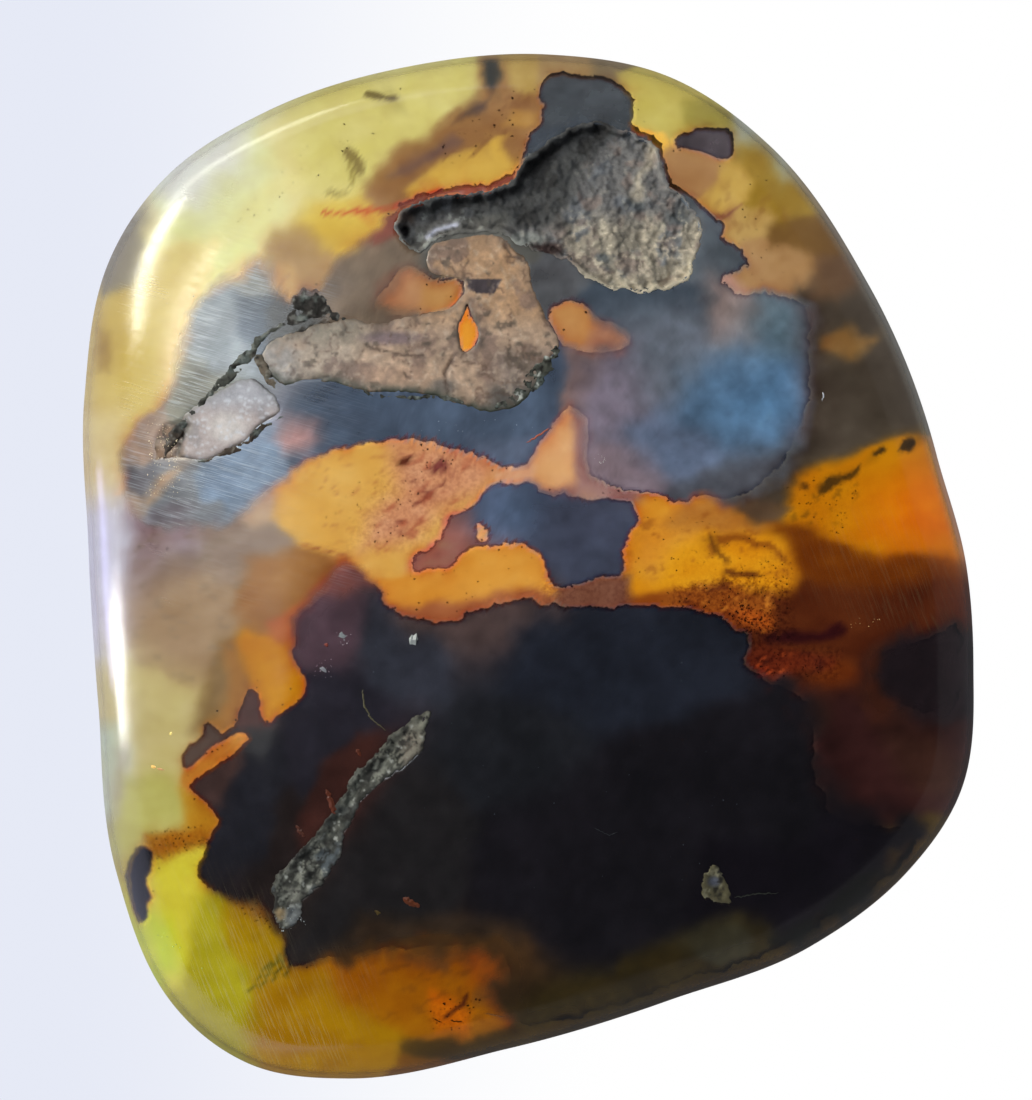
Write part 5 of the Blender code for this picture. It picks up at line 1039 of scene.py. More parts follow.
def amber_material():
    made, tree, shader = material("polished_amber")
    tint = attribute(tree, "tint", "Color")
    veil = attribute(tree, "veil")
    brushed = attribute(tree, "brushed")
    combed = attribute(tree, "combed")
    grains = attribute(tree, "granular")

    flat_lines = ramp(tree, grain(tree, 560, 3.0, (1, 26, 1), math.radians(-16)), 0.44, 0.68)
    steep_lines = ramp(tree, grain(tree, 540, 3.0, (26, 1, 1), math.radians(21)), 0.50, 0.68)
    faint_lines = ramp(tree, grain(tree, 300, 2.0, (34, 1, 1), math.radians(35)), 0.62, 0.72)
    brush_marks = calc(tree, "MULTIPLY", flat_lines, brushed)
    comb_marks = calc(tree, "MULTIPLY", steep_lines, combed)
    scratches = calc(tree, "ADD", brush_marks, comb_marks)
    scratches = calc(tree, "ADD", scratches, calc(tree, "MULTIPLY", faint_lines, 0.08))
    scratches = calc(tree, "MINIMUM", scratches, 1.0)

    mottle = ramp(tree, grain(tree, 900, 5.0), 0.3, 0.7, 0.95, 1.04)
    coarse = ramp(tree, grain(tree, 4200, 5.0, rough=0.7), 0.34, 0.62, 0.15, 1.30)
    spread = calc(tree, "MULTIPLY_ADD", calc(tree, "SUBTRACT", coarse, 1.0), grains, 1.0)
    mottle = calc(tree, "MULTIPLY", mottle, spread)
    colour = shaded(tree, tint, mottle, calc(tree, "POWER", mottle, 1.35))
    # Painted sheen on real scratches: the brushed lines are painted pale bluish where the stone scatters,
    # the combed lines a lighter amber
    pale = calc(tree, "MULTIPLY", calc(tree, "MULTIPLY", brush_marks, 0.32), ramp(tree, veil, 0.42, 0.6))
    colour = mixed(tree, "MIX", pale, colour, (0.58, 0.64, 0.70, 1.0))
    colour = mixed(tree, "MIX", calc(tree, "MULTIPLY", comb_marks, 0.12), colour, (0.80, 0.70, 0.42, 1.0))
    tree.links.new(colour, shader.inputs["Base Color"])

    clear = calc(tree, "SUBTRACT", 1.0, veil)
    clear = calc(tree, "SUBTRACT", clear, calc(tree, "MULTIPLY", scratches, 0.07))
    tree.links.new(calc(tree, "MAXIMUM", clear, 0.02), shader.inputs["Transmission Weight"])

    rough = ramp(tree, grain(tree, 260, 4.0), 0.3, 0.7, 0.09, 0.14)
    rough = calc(tree, "MULTIPLY_ADD", attribute(tree, "rim"), 0.30, rough)
    rough = calc(tree, "MULTIPLY_ADD", scratches, 0.10, rough)
    tree.links.new(rough, shader.inputs["Roughness"])
    waves = bump(tree, grain(tree, 160, 2.0), 0.20, 0.00006)
    pores = bump(tree, grain(tree, 5200, 3.0), 0.6, 0.0000022, Normal=waves)
    tree.links.new(bump(tree, scratches, 0.5, 0.000008, Normal=pores), shader.inputs["Normal"])
    shader.inputs["IOR"].default_value = AMBER_IOR

    absorb = node(tree, "ShaderNodeVolumeAbsorption")
    density = float(ABSORBED_PER_M.max())
    absorb.inputs["Density"].default_value = density
    absorb.inputs["Color"].default_value = (*(1 - ABSORBED_PER_M / density), 1.0)
    tree.links.new(absorb.outputs[0], tree.nodes["Material Output"].inputs["Volume"])
    return made


# Squares along each side of the dome's grid, and how many of them meet one square of the underside
GRID = 300
COARSER = 5
# How far out the underside's rings lie, as shares of the edge's radius
UNDERSIDE_RINGS = np.concatenate([
    [0.9985, 0.995, 0.989, 0.981, 0.971, 0.959, 0.945, 0.928, 0.908, 0.885], np.linspace(0.86, 0.03, 26)])
# Distances between the points of the sheets
DEBRIS_SPACING = 0.42
CALCITE_SPACING = 0.12
ROCK_SPACING = 0.09
# Rough hollows of the dome: outline, seed of its ragged border, depth, how far in the slope starts
HOLLOWS = [
    (PIT_FACE, 3, PIT_DEPTH + 0.1, 0.12),
    (VEIN_CRUST, 4, 0.9, 0.17),
    (STONE_CHIP, 5, 0.9, 0.14),
]


def dome_grid():
    """A square grid laid over the dome: share of the edge and angle of each point, faces, border."""
    a, b = np.meshgrid(np.linspace(-1, 1, GRID + 1), np.linspace(-1, 1, GRID + 1))
    wide = np.abs(a) > np.abs(b)
    radius = np.where(wide, a, b)
    safe = np.where(radius == 0, 1.0, radius)
    angle = np.where(wide, math.pi / 4 * b / safe, math.pi / 2 - math.pi / 4 * a / safe)
    x, y = radius * np.cos(angle), radius * np.sin(angle)
    radius, angle = np.hypot(x, y).ravel(), np.arctan2(y, x).ravel()
    share = np.sin(radius * math.pi / 2)
    share = share + 0.5 * (1 - radius) * (radius - share)
    index = np.arange((GRID + 1) ** 2).reshape(GRID + 1, GRID + 1)
    faces = np.stack([index[:-1, :-1], index[:-1, 1:], index[1:, 1:], index[1:, :-1]], -1)
    border = np.concatenate([index[0, :-1], index[:-1, -1], index[-1, :0:-1], index[:0:-1, 0]])
    return share, angle, faces.reshape(-1, 4).tolist(), border.tolist()


def underside(angle, border, first):
    """Rings of points below the dome's border, closed by a pole: points and faces."""
    turn = angle[border[::COARSER]]
    far = edge_radius(turn)
    x = np.outer(UNDERSIDE_RINGS, far * np.cos(turn))
    y = np.outer(UNDERSIDE_RINGS, far * np.sin(turn))
    z = np.repeat(underside_height(UNDERSIDE_RINGS), len(turn))
    index = first + np.arange(x.size).reshape(x.shape)
    pole = first + x.size
    faces = []
    for i in range(len(turn)):
        left, right = index[:, i].tolist(), index[:, (i + 1) % len(turn)].tolist()
        rim = [border[(i * COARSER + k) % len(border)] for k in range(COARSER + 1)]
        for k in range(COARSER):
            faces.append((rim[k + 1], rim[k], left[0] if k <= COARSER // 2 else right[0]))
        faces.append((rim[COARSER // 2 + 1], left[0], right[0]))
        faces += zip(right, left, left[1:], right[1:])
        faces.append((right[-1], left[-1], pole))
    points = np.column_stack([x.ravel(), y.ravel(), z])
    return np.concatenate([points, [[0.0, 0.0, 0.0]]]), faces


def dome_looks(share, x, y):
    """The tint that makes each place of the dome look as it should, and how the polish is there."""
    near = debris_distance(x, y)
    soft = softness(x, y)
    uneven = 0.9 * cloud(x, y, 1.8, 68, 4) * soft
    over = smooth((near + 0.10 + 1.5 * soft + uneven) / (0.24 + 1.7 * soft))
    seen = amber_colour(x, y, near)
    # Painted light: the upper right rim is painted a flat grey, the look that light takes at the edge
    edge = 0.55 * smooth((share - 0.968) / 0.024) * smooth((x - 9.0) / 5.0) * smooth((y + 1.0) / 3.0)
    seen = seen * (1 - edge[:, None]) + linear("#8c8c86") * edge[:, None]
    through = light_through(x, y, underside_z(*place_under_dome(x, y, underside_z)))
    clear = np.clip(seen / through, 0.0005, 1.0)

    slate, power = slates(x, y)
    power = power + (0.98 - power) * smooth(soft / 0.25) * smooth((0.9 - near) / 0.8)
    # The ring of scattering along the whole edge is painted light too, its tint solved to the edge's look
    veil = np.maximum(power * over, 0.88 * smooth((share - 0.982) / 0.010))
    # Painted reflection: scattering where the polish mirrors the lamps
    for u, v, reach, much in REFLECTION_HAZE:
        veil = np.maximum(veil, much * glow(x, y, u, v, reach))

    # A clear place shows the root of its tint, a scattering one the tint itself
    target = through * clear * (1 - over[:, None]) + slate * over[:, None]
    hidden = smooth((near + 0.22) / 0.44)[:, None]
    passing = (1 - veil)[:, None] * through * clear ** 0.25 * (1 - hidden)
    scattering = veil[:, None] * lit(x, y)
    root = 2 * target / (passing + np.sqrt(passing**2 + 4 * scattering * target) + 1e-6)
    duller_left = 0.34 * smooth((-13.6 - x - 0.12 * np.abs(y - 4.0)) / 4.0)
    return {
        "tint": np.clip(root**2, 0, 1),
        "veil": veil,
        "brushed": patchy(x, y, BRUSHED),
        "combed": patchy(x, y, COMBED),
        "granular": patchy(x, y, GRANULAR) * (1 - over),
        "rim": np.maximum(smooth((share - 0.975) / 0.02), duller_left),
    }


def amber_stone():
    """One closed stone: a fine dome with hollows for the minerals, and a coarser underside."""
    share, angle, faces, border = dome_grid()
    reach = edge_radius(angle)
    x, y = share * reach * np.cos(angle), share * reach * np.sin(angle)
    top = EQUATOR + DOME_RISE * falloff(share) + unevenness(x, y, share)
    for outline, seed, depth, lip in HOLLOWS:
        inside = distance_inside(x, y, rock_border(outline, ROCK_SPACING, 0.2, seed))
        top = top - depth * smooth((inside - lip) / 0.30)
    for outline in (CALCITE_PATCH, CALCITE_TONGUE):
        top = top - 0.15 * smooth((distance_inside(x, y, outline) - 0.14) / 0.25)
    low, low_faces = underside(angle, border, len(x))

    u, v = seen_from_above(low[:, 0], low[:, 1], underside_z)
    seen = amber_colour(u, v, np.full(len(u), -9.0))
    clear = np.clip(seen / light_through(u, v, low[:, 2]), 0.0005, 1.0)
    looks = {}
    for key, values in dome_looks(share, x, y).items():
        below = clear ** 0.5 if key == "tint" else np.zeros(len(u))
        looks[key] = np.concatenate([values, below])
    points = np.concatenate([np.column_stack([x, y, top]), low])
    return new_mesh("amber_stone", points, faces + low_faces, amber_material(), looks)


# Debris sealed in the amber

def debris_material():
    made, tree, shader = material("dark_debris")
    tint = attribute(tree, "tint", "Color")
    mottle = ramp(tree, grain(tree, 1400, 6.0, rough=0.65), 0.35, 0.65, 0.55, 1.5)
    tree.links.new(shaded(tree, tint, mottle, mottle), shader.inputs["Base Color"])
    rough = ramp(tree, grain(tree, 700, 4.0), 0.3, 0.7, 0.55, 0.85)
    tree.links.new(rough, shader.inputs["Roughness"])
    tree.links.new(bump(tree, grain(tree, 1500, 6.0), 0.8, 0.00015), shader.inputs["Normal"])
    shader.inputs["Specular IOR Level"].default_value = 0.1
    return made


def debris_piece(number, key, colour, look):
    """A sheet about a millimetre thick under the parting surface, thinner towards its border."""
    flat, triangles = sheet_points(*TORN[number], DEBRIS_SPACING, 900 + number)
    depth_in = np.maximum(distance_between(flat[:, 0], flat[:, 1], *TORN[number]), 0.0)
    x, y = place_under_dome(flat[:, 0], flat[:, 1], lambda u, v: parting_z(u, v) - GAP)
    full = np.minimum(1.0, 0.35 * (parting_z(x, y) - underside_z(x, y)))
    middle = parting_z(x, y) - GAP - 0.5 * full
    swell = 0.10 + 0.38 * smooth(depth_in / 0.9)
    relief = 0.10 * cloud(x, y, 1.1, 40 + number) * smooth(depth_in / 0.5)
    high = middle + full * np.minimum(swell + relief, 0.5)
    low = middle - full * np.minimum(swell - 0.6 * relief, 0.5)
    points, faces = closed_sheet(np.column_stack([x, y]), triangles, low, high)
    part = (np.exp(-depth_in / 0.25) * (0.6 + 0.4 * cloud(x, y, 1.5, 77)))[:, None]
    tint = linear(colour) * (1 - part) + linear("#3a160c") * part
    piece = new_mesh(key + "_sheet", points, faces, look, {"tint": np.concatenate([tint, tint])})
    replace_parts(piece, key)


# Minerals set into the dome

def mineral_material(name, mottle_scale, mottle_depth, rough_low, rough_high, bump_depth):
    made, tree, shader = material(name)
    tint = attribute(tree, "tint", "Color")
    fine = grain(tree, mottle_scale, 8.0, rough=0.7)
    mottle = ramp(tree, fine, 0.28, 0.72, 1 - mottle_depth, 1 + mottle_depth)
    tree.links.new(shaded(tree, tint, mottle, mottle), shader.inputs["Base Color"])
    rough = ramp(tree, grain(tree, mottle_scale * 0.8, 5.0), 0.3, 0.7, rough_low, rough_high)
    tree.links.new(rough, shader.inputs["Roughness"])
    tree.links.new(bump(tree, fine, 1.0, bump_depth), shader.inputs["Normal"])
    return made


def set_mineral(name, replaced, outline, windows, look, spacing, depth, paint, relief,
                raggedness, seed):
    """A mineral with a face of its own relief and colours, flush with the dome."""
    border = rock_border(outline, spacing, raggedness, seed)
    holes = [ragged(window, spacing * 0.9, 0.06, 0.5, 350 + seed) for window in windows]
    flat, triangles = sheet_points(border, holes, spacing, 950 + seed)
    x, y = flat[:, 0], flat[:, 1]
    inner = np.maximum(distance_between(x, y, border, holes), 0.0)
    top = dome_z(x, y)
    points, faces = closed_sheet(flat, triangles, top - depth, top + relief(x, y, inner))
    tint = unsrgb(np.clip(paint(x, y, inner), 0, 1))
    tint = np.clip(tint / lit(x, y), 0, 1)
    piece = new_mesh(name, points, faces, look, {"tint": np.concatenate([tint, tint])})
    if replaced:
        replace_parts(piece, replaced)


CALCITE_HOLE = places("-3.05,14.25 -1.35,14.2 -1.5,13.8 -1.7,13.45 -2.6,13.5 -2.95,13.75")
CALCITE_CRACKS = [
    places("-12.4,8.6 -11.5,9.1 -10.6,9.25 -9.9,9.4"),
    places("-8,10.9 -6.6,10.5 -5.2,10.4"),
    places("-3.7,10.4 -4.1,9.6 -4,8.6"),
    places("-1.2,16 -0.9,15.4 -0.2,15"),
    places("-6.2,9.6 -5.9,9.3"),
]


def calcite_colour(x, y, inner):
    right = smooth((y - 11.4) / 1.6) * smooth((x + 6.5) / 1.5)
    hole = distance_inside(x + 0.05 * cloud(x, y, 0.3, 8), y, CALCITE_HOLE)
    seen = layered(
        code("#b0957c"),
        ("#ae9e8b", 0.9 * smooth((-6.8 - x) / 3.0)),
        ("#a09c98", 0.8 * smooth((-10.9 - x) / 1.2)),
        ("#b38e69", right),
        ("#bda188", 0.8 * smooth(cloud(x, y, 1.6, 1) * 1.6) * (1 - 0.6 * right)),
        ("#7c6558", 0.75 * smooth(cloud(x, y, 1.2, 2) * 2.0 - 0.3)),
        ("#776960", 0.85 * smooth((x + 2.4) / 1.6) * smooth((11.2 - y) / 1.2)),
        ("#4c4a48", 0.8 * smooth(x + 2.6) * smooth(9.4 - y)),
        ("#7e7868", 0.7 * smooth((-6.5 - x) / 3.0) * smooth(y - 10.6)),
        ("#62525c", 0.7 * spot(x, y, -6.8, 11.3, 1.5, 0.35, 1.4)),
        ("#b8977c", 0.7 * spot(x, y, -6.5, 9.4, 1.6, 0.5)),
        ("#66605a", 0.8 * spot(x, y, -4.2, 8.9, 0.7, 0.4, 1.4)),
        ("#40363a", smooth(1.6 * hole / 0.12 + 0.5)),
        ("#5a4234", 0.55 * fine_veins(x, y, 1.6, 5, 0.06)),
        ("#c8b6a0", 0.45 * fine_veins(x, y, 1.1, 9, 0.07)),
        ("#54483c", 0.7 * smooth(cloud(x, y, 0.5, 6, 3) * 2.6 - 1.3)),
    )
    grit = cloud(x, y, 0.35, 3)
    seen = seen * (1 + 0.10 * grit + 0.06 * cloud(x, y, 0.16, 7, 2))[:, None]
    for line in CALCITE_CRACKS:
        gap = distance_to_line(x + 0.10 * grit, y + 0.06 * grit, line)
        seen = layered(seen, ("#4f3c30", 0.8 * bell(gap / np.maximum(0.07 + 0.05 * grit, 0.02))))
    return layered(
        seen,
        ("#5a5048", 0.5 * np.exp(-inner / 0.16)),
        ("#464a40", smooth(0.9 + grit) * bell(inner / 0.30) * smooth(10.4 - y)),
    )


def calcite_relief(x, y, inner):
    depth = 0.02 + 0.014 * cloud(x, y, 0.8, 4) - 0.02 * np.exp(-inner / 0.06)
    for line in CALCITE_CRACKS:
        depth = depth - 0.03 * bell(distance_to_line(x, y, line) / 0.1)
    return depth


TONGUE_CRACKS = [
    places("-17,5.3 -16,5.1 -15.2,5.5 -14.5,5.9 -13.8,6.2 -13.3,6.9 -12.7,7.3 -12,7.6"),
    places("-17.4,5.6 -17.2,6.4 -16.9,7 -17.6,7.2"),
    places("-18.4,6.6 -17.8,6.2 -17.2,6.4"),
]


def tongue_colour(x, y, inner):
    lines = noise(0.9 * x - 0.4 * y, y + 0.42 * x, 0.16, 17) + noise(0.3 * x, y + 0.42 * x, 0.09, 18)
    seen = layered(
        code("#b5a8a4"),
        ("#d2c6c0", 0.9 * smooth(cloud(x, y, 1.6, 11) * 1.8)),
        ("#8c8688", 0.6 * smooth(cloud(x, y, 1.1, 12) * 2 - 0.4)),
        ("#d6d0ca", 0.8 * spot(x, y, -14.9, 6.9, 0.9, 0.7)),
        ("#7c7870", 0.7 * smooth((-16.3 - x) / 0.8) * smooth((y - 6.2) / 0.6)),
        # Painted reflection: the bluish upper part and the bluish white streaks are the window's sheen on
        # the polish
        ("#a3a9b4", 0.7 * smooth((y - 7.3) / 1.2)),
        ("#d9dfe8", 0.6 * smooth(lines * 1.4 - 0.35)),
        ("#8a6b50", 0.9 * smooth((-16.9 - x) / 0.5)),
    )
    grit = cloud(x, y, 0.3, 13)
    for line in TONGUE_CRACKS:
        seen = layered(seen, ("#3a332c", 0.9 * bell(distance_to_line(x + 0.08 * grit, y, line) / 0.14)))
    return layered(
        seen,
        ("#4a3c30", 0.8 * smooth((-16.8 - x) / 0.5) * smooth(grit * 2.5)),
        ("#c8b49a", smooth((-17.6 - x) / 0.5) * smooth(grit * 3 - 1.4)),
        ("#4c4a46", 0.7 * np.exp(-inner / 0.14)),
    )


def tongue_relief(x, y, inner):
    depth = 0.02 + 0.012 * cloud(x, y, 0.7, 14) - 0.03 * np.exp(-inner / 0.06)
    for line in TONGUE_CRACKS:
        depth = depth - 0.09 * bell(distance_to_line(x, y, line) / 0.12)
    return depth - 0.06 * smooth((-16.9 - x) / 0.5) * (1 + cloud(x, y, 0.35, 15))


# Outline of the pit's upper left side, painted dark as the shadow it lies in
SHADOWED_WALL = places("""
    -7,17.4 -4.6,19 -1.9,19.2 -0.9,19.6 -0.4,20.4 0.9,21.6 2.6,22.6 4.2,22.4 4.7,21.5 3.5,20.6 2.6,19.4
    2.3,18 1.4,16.8 -0.6,16.7 -2.6,16.9 -4,17.2 -5.6,17
""")
PIT_RIDGE = places("5.4,18.4 5.7,19.6 6.2,20.8")
PIT_GLINT = places("-5.1,16.3 -4.5,16.7 -3.6,16.95")


def crust_colour(x, y, inner):
    u = x + 0.25 * cloud(x, y, 0.8, 26)
    v = y + 0.25 * cloud(x, y, 0.8, 27)
    # Painted light: the right part of the pit and its lower right border are painted lighter as lit, and
    # the pale grains there brighter
    light = smooth((x - 0.8) / 1.5) * smooth((18.0 - y) / 1.6)
    painted_lit_edge = smooth(x - 2.0) * smooth(15.8 - y) * bell(inner / 0.4)
    wall_shadow = smooth(distance_inside(u, v, SHADOWED_WALL) / 0.9 + 0.3)
    arm = smooth((-0.8 - x) / 0.6) * smooth((17.3 + 0.14 * (x + 4) - y) / 0.4)
    grit = cloud(x, y, 0.30, 23, 3)
    hole = np.hypot(x + 6.16, y - 16.6) + 0.08 * cloud(x, y, 0.4, 18)
    return layered(
        code("#6f6e6c"),
        ("#958d7c", 0.9 * light),
        ("#6a6e72", 0.8 * smooth(cloud(x, y, 1.2, 28) * 2.2 - 0.2)),
        ("#7c6e66", 0.7 * smooth(cloud(x, y, 1.0, 21) * 2.4) * smooth(x / 2)),
        ("#545a5c", 0.8 * spot(u, v, 5.4, 18.0, 0.5, 0.25)),
        ("#545a5c", 0.8 * spot(u, v, 3.8, 15.2, 0.5, 0.3)),
        ("#545a5c", 0.8 * spot(u, v, 7.4, 17.3, 0.6, 0.6)),
        ("#a59c8a", 0.9 * bell(distance_to_line(u, v, PIT_RIDGE) / 0.3)),
        ("#b5ac94", painted_lit_edge),
        ("#b9ae98", 0.8 * fine_veins(x, y, 1.0, 29, 0.10) * light),
        # painted shadow on the pit's upper left side
        ("#444544", 0.95 * wall_shadow),
        ("#262524", 0.75 * wall_shadow * smooth(0.35 - 1.8 * cloud(x, y, 0.9, 20))),
        ("#62666a", 0.6 * wall_shadow * smooth((-1.0 - x) / 1.5) * smooth(cloud(x, y, 0.5, 19) * 2)),
        ("#7c6a5c", 0.8 * spot(x, y, -6.2, 17.2, 0.5, 0.4)),
        ("#5e5d57", 0.8 * arm),
        ("#8d918a", 0.9 * spot(x, y, -0.1, 16.15, 0.9, 0.4)),
        ("#2c1c1a", 0.95 * spot(u, v, 0.85, 15.75, 0.6, 0.35)),
        ("#bdb5a0", smooth(grit * 2.4 - 1.1) * (0.25 + 0.5 * light) * (1 - 0.8 * wall_shadow)),
        ("#3e3c38", 0.4 * smooth(-grit * 2.4 - 1.0)),
        ("#8f948e", 0.65 * smooth(grit * 2.4 - 0.7) * smooth((-1.5 - x) / 1.5) * smooth((17.9 - y) / 0.6)),
        ("#989a94", 0.8 * smooth(grit * 2.0) * smooth((-5.2 - x) / 0.4) * smooth((16.4 - y) / 0.3)),
        ("#c3c7d6", bell(distance_to_line(u, y, PIT_GLINT) / 0.13)),
        ("#8b8f90", 0.5 * bell((hole - 0.40) / 0.12)),
        # painted shade inside the round hole
        ("#1c1a1c", 0.9 * smooth((0.28 - hole) / 0.14)),
    )


def crust_relief(x, y, inner):
    towards_wall = np.clip(0.5 - 0.12 * (x - 2.5) + 0.10 * (y - 17.5), 0, 1)
    lumps = cloud(x, y, 1.4, 24, 6, 0.62)
    depth = 0.35 + 0.45 * towards_wall + 0.32 * lumps + 0.10 * cloud(x, y, 0.4, 25, 3, 0.7)
    depth = depth + 0.3 * smooth((0.34 - np.hypot(x + 6.16, y - 16.6)) / 0.15)
    depth = np.clip(depth, 0.04, 1.55)
    uneven = inner + 0.16 * cloud(x, y, 0.7, 22, 4, 0.7) * smooth(inner / 0.2)
    return 0.01 - depth * smooth((uneven - 0.12) / (0.16 + 0.22 * towards_wall))


def vein_colour(x, y, inner):
    along = (-7.5 * x - 10.6 * y) / 13.0
    across = (10.6 * x - 7.5 * y) / 13.0
    streaks = noise(0.35 * along, across, 0.16, 30) + 0.7 * noise(0.5 * along, across, 0.08, 39)
    grit = cloud(x, y, 0.24, 34, 3)
    return layered(
        code("#4d4f48"),
        ("#7d7f74", 0.9 * smooth(streaks * 1.6 - 0.1)),
        ("#454f58", 0.7 * smooth(cloud(x, y, 1.1, 32) * 2.0) * smooth((-11.0 - y) / 2.0)),
        ("#5a4640", 0.8 * spot(x, y, -5.7, -8.9, 0.7, 0.9)),
        ("#2a2a26", 0.85 * smooth(-streaks * 1.6 - 0.1)),
        ("#7a7a6c", 0.75 * smooth((y + 10.0) / 0.8) * smooth(0.8 + streaks)),
        ("#2f302b", 0.5 * spot(x, y, -9.4, -12.6, 0.9, 0.9)),
        ("#74756c", 0.6 * spot(x, y, -11.7, -16.2, 0.5, 0.4)),
        ("#9a9d96", 0.9 * smooth(grit * 3.0 - 1.5)),
        ("#1c1b19", 0.8 * smooth(-grit * 3.0 - 1.1)),
        ("#a48a60", 0.8 * spot(x, y, -12.3, -17.2, 0.3, 0.3)),
        ("#666c70", 0.7 * spot(x, y, -11.6, -17.3, 0.5, 0.5)),
        ("#2a2824", 0.6 * np.exp(-inner / 0.10)),
    )


def vein_relief(x, y, inner):
    depth = 0.12 + 0.14 * cloud(x, y, 0.8, 35, 5) + 0.06 * cloud(x, y, 0.25, 36, 2)
    return 0.01 - np.clip(depth, 0.0, 0.5) * smooth((inner - 0.14) / 0.35)


def chip_colour(x, y, inner):
    return layered(
        code("#4a4632"),
        # Painted light: the bluish light on the chip's top
        ("#4a4e58", spot(x, y, 9.2, -15.6, 0.35, 0.3, 1.4)),
        ("#76745f", 0.8 * smooth(cloud(x, y, 0.4, 37) * 2.5 - 0.6)),
        ("#1c1a16", 0.9 * smooth(-cloud(x, y, 0.5, 38) * 2.5 - 0.3)),
    )


# Rims of dark rock: name and outline, or name, line and the band's width at each of its points
GRIT_BANDS = []
for name, line, *widths in rows("""
rock_rim_black | -12.2,11.9 -11.9,12.6 -11.75,13.2 -11.3,13.4 -11.2,13.95 -10.8,13.5 -10.5,13.75 -9.9,13.4
    -9.75,12.9 -9.2,12.75 -8.9,12.2 -9.6,11.95 -10.4,12.3 -11,12.1 -11.6,11.8
rock_rim_left | -11.4,12.3 -12.4,11.9 -13.5,11.1 -14,10.3 -15.1,9.15 -16,8.35 -17,7.3 -17.8,6.2 -18.1,5.25 |
    0.5 0.35 0.45 0.75 0.6 0.35 0.4 0.65 0.25
rock_rim_right | 1.55,11.2 1.2,10.4 0.6,9.7 0.1,9 -0.5,8.4 -1.2,8 -1.9,7.8 | 0.35 0.7 0.95 0.95 0.8 0.45
    0.25
rock_rim_below | -9.2,8.85 -7.4,8.45 -5.8,8.35 -4.4,8.35 -3.2,8.1 -2,7.75 | 0.14 0.26 0.24 0.42 0.26 0.16
rock_rim_tongue | -16.9,5.25 -16,5.2 -15.3,5.5 -14.5,5.75 -13.7,6.4 -12.9,7 -12.1,7.5 | 0.16 0.22 0.3 0.62
    0.42 0.4 0.22
rock_rim_leaf | -13.7,10.4 -13.4,10.7 -13,10.4 -12.6,9.7 -12.35,9 -12.5,8.7 -13,9 -13.5,9.6
"""):
    outline = places(line)
    if widths:
        outline = band(outline, [float(width) for width in widths[0].split()])
    GRIT_BANDS.append((name.strip(), outline))


def grit_colour(x, y, inner):
    grit = cloud(x, y, 0.22, 52, 3)
    bright = 0.45 + 0.55 * smooth(x + 2.0)
    return layered(
        code("#40423a"),
        ("#2a2622", smooth((x + 12.4) / 0.6) * smooth((-8.0 - x) / 0.6)),
        ("#6a5c4c", 0.8 * spot(x, y, -13.0, 9.6, 0.9, 0.9, 1.6)),
        ("#3c2c20", 0.8 * smooth((7.4 - y) / 0.6) * smooth((-11.0 - x) / 0.6)),
        ("#55605c", 0.8 * smooth(cloud(x, y, 0.7, 51) * 2.2)),
        ("#a8aca4", bright * smooth(grit * 3.0 - 0.9)),
        ("#15130f", 0.9 * smooth(-grit * 3.0 - 0.8)),
    )


def grit_relief(x, y, inner):
    return 0.03 + 0.05 * cloud(x, y, 0.3, 53, 3) - 0.10 * np.exp(-inner / 0.05)


# Small scraps caught in the amber, and specks on its polish, those along the upper left highlight painted
# glints:
# count, smallest and largest size, how drawn out, angle, colour, outline of the place
SCRAPS = zones("""
90 0.03 0.1 1.3 0 #3a1c08 | 5.2,-0.4 5.6,2.6 8,2.6 11.4,1.6 13,0.6 13,-0.8 9.4,-0.4
90 0.03 0.1 1.5 10 #2c1206 | 10.4,0.3 13.1,0.3 13.1,-1.5 10.8,-1.4
200 0.03 0.11 1.6 -10 #2a0e06 | 6.4,-1.2 9.6,-0.6 11.8,-1 13,-1.4 12.6,-3.6 11.4,-4.2 10,-2.5 7,-1.9
150 0.05 0.14 1.5 0 #d06a1c | 9.8,-2.2 10.6,-1.8 12.4,-2.4 12.4,-3.3 10.8,-3.3
110 0.03 0.11 1.6 -12 #c04a18 | 11,-4.6 12.4,-4.1 15.2,-4.5 15,-5.3 12.4,-5.7
90 0.03 0.11 1.3 20 #4a2408 | 12.5,2.4 12.6,4 15,5 16.5,4.4 15.6,1.6 13.4,1.9
60 0.03 0.11 1.8 38 #5a2a2c | -8.6,0.9 -7,1.2 -4.6,4.2 -3.2,5.6 -4.4,6 -6.4,3.6
34 0.05 0.12 1.3 0 #7a3a20 | -10.4,1.4 -6,1.4 -4.6,4.6 -9.4,5.2
16 0.05 0.13 1.2 0 #6a3010 | -6.6,-0.8 -0.6,0.8 0.2,-1 -5,-2.2
60 0.05 0.13 1.3 0 #30200c | -19.2,-13.2 -16.2,-12.8 -15.9,-13.8 -18.4,-14.6
40 0.05 0.14 1.3 0 #34240e | -15.2,-16.2 -13,-16.4 -12.2,-17.8 -13.2,-18.2
40 0.05 0.13 1.5 0 #4a1e08 | -5,-21.6 -2.4,-21.4 -2.6,-23.2 -5,-23
26 0.05 0.12 1.3 0 #6a5a30 | -20.6,9 -18.6,14 -8,21 -6,24 -10,22 -20,12
26 0.06 0.16 1.6 30 #5a3426 | -4.8,21.4 -0.8,24.2 0,21.6 -4.4,19.8
30 0.06 0.16 1.4 0 #5c4038 | -20.2,3.6 -19.2,7 -18.6,6.4 -19.2,2.6 -17.6,0.6 -19.4,0.8
18 0.05 0.12 1.4 0 #3a2010 | 9.6,19.8 12.4,19.4 12.8,14.2 10.4,14
""")
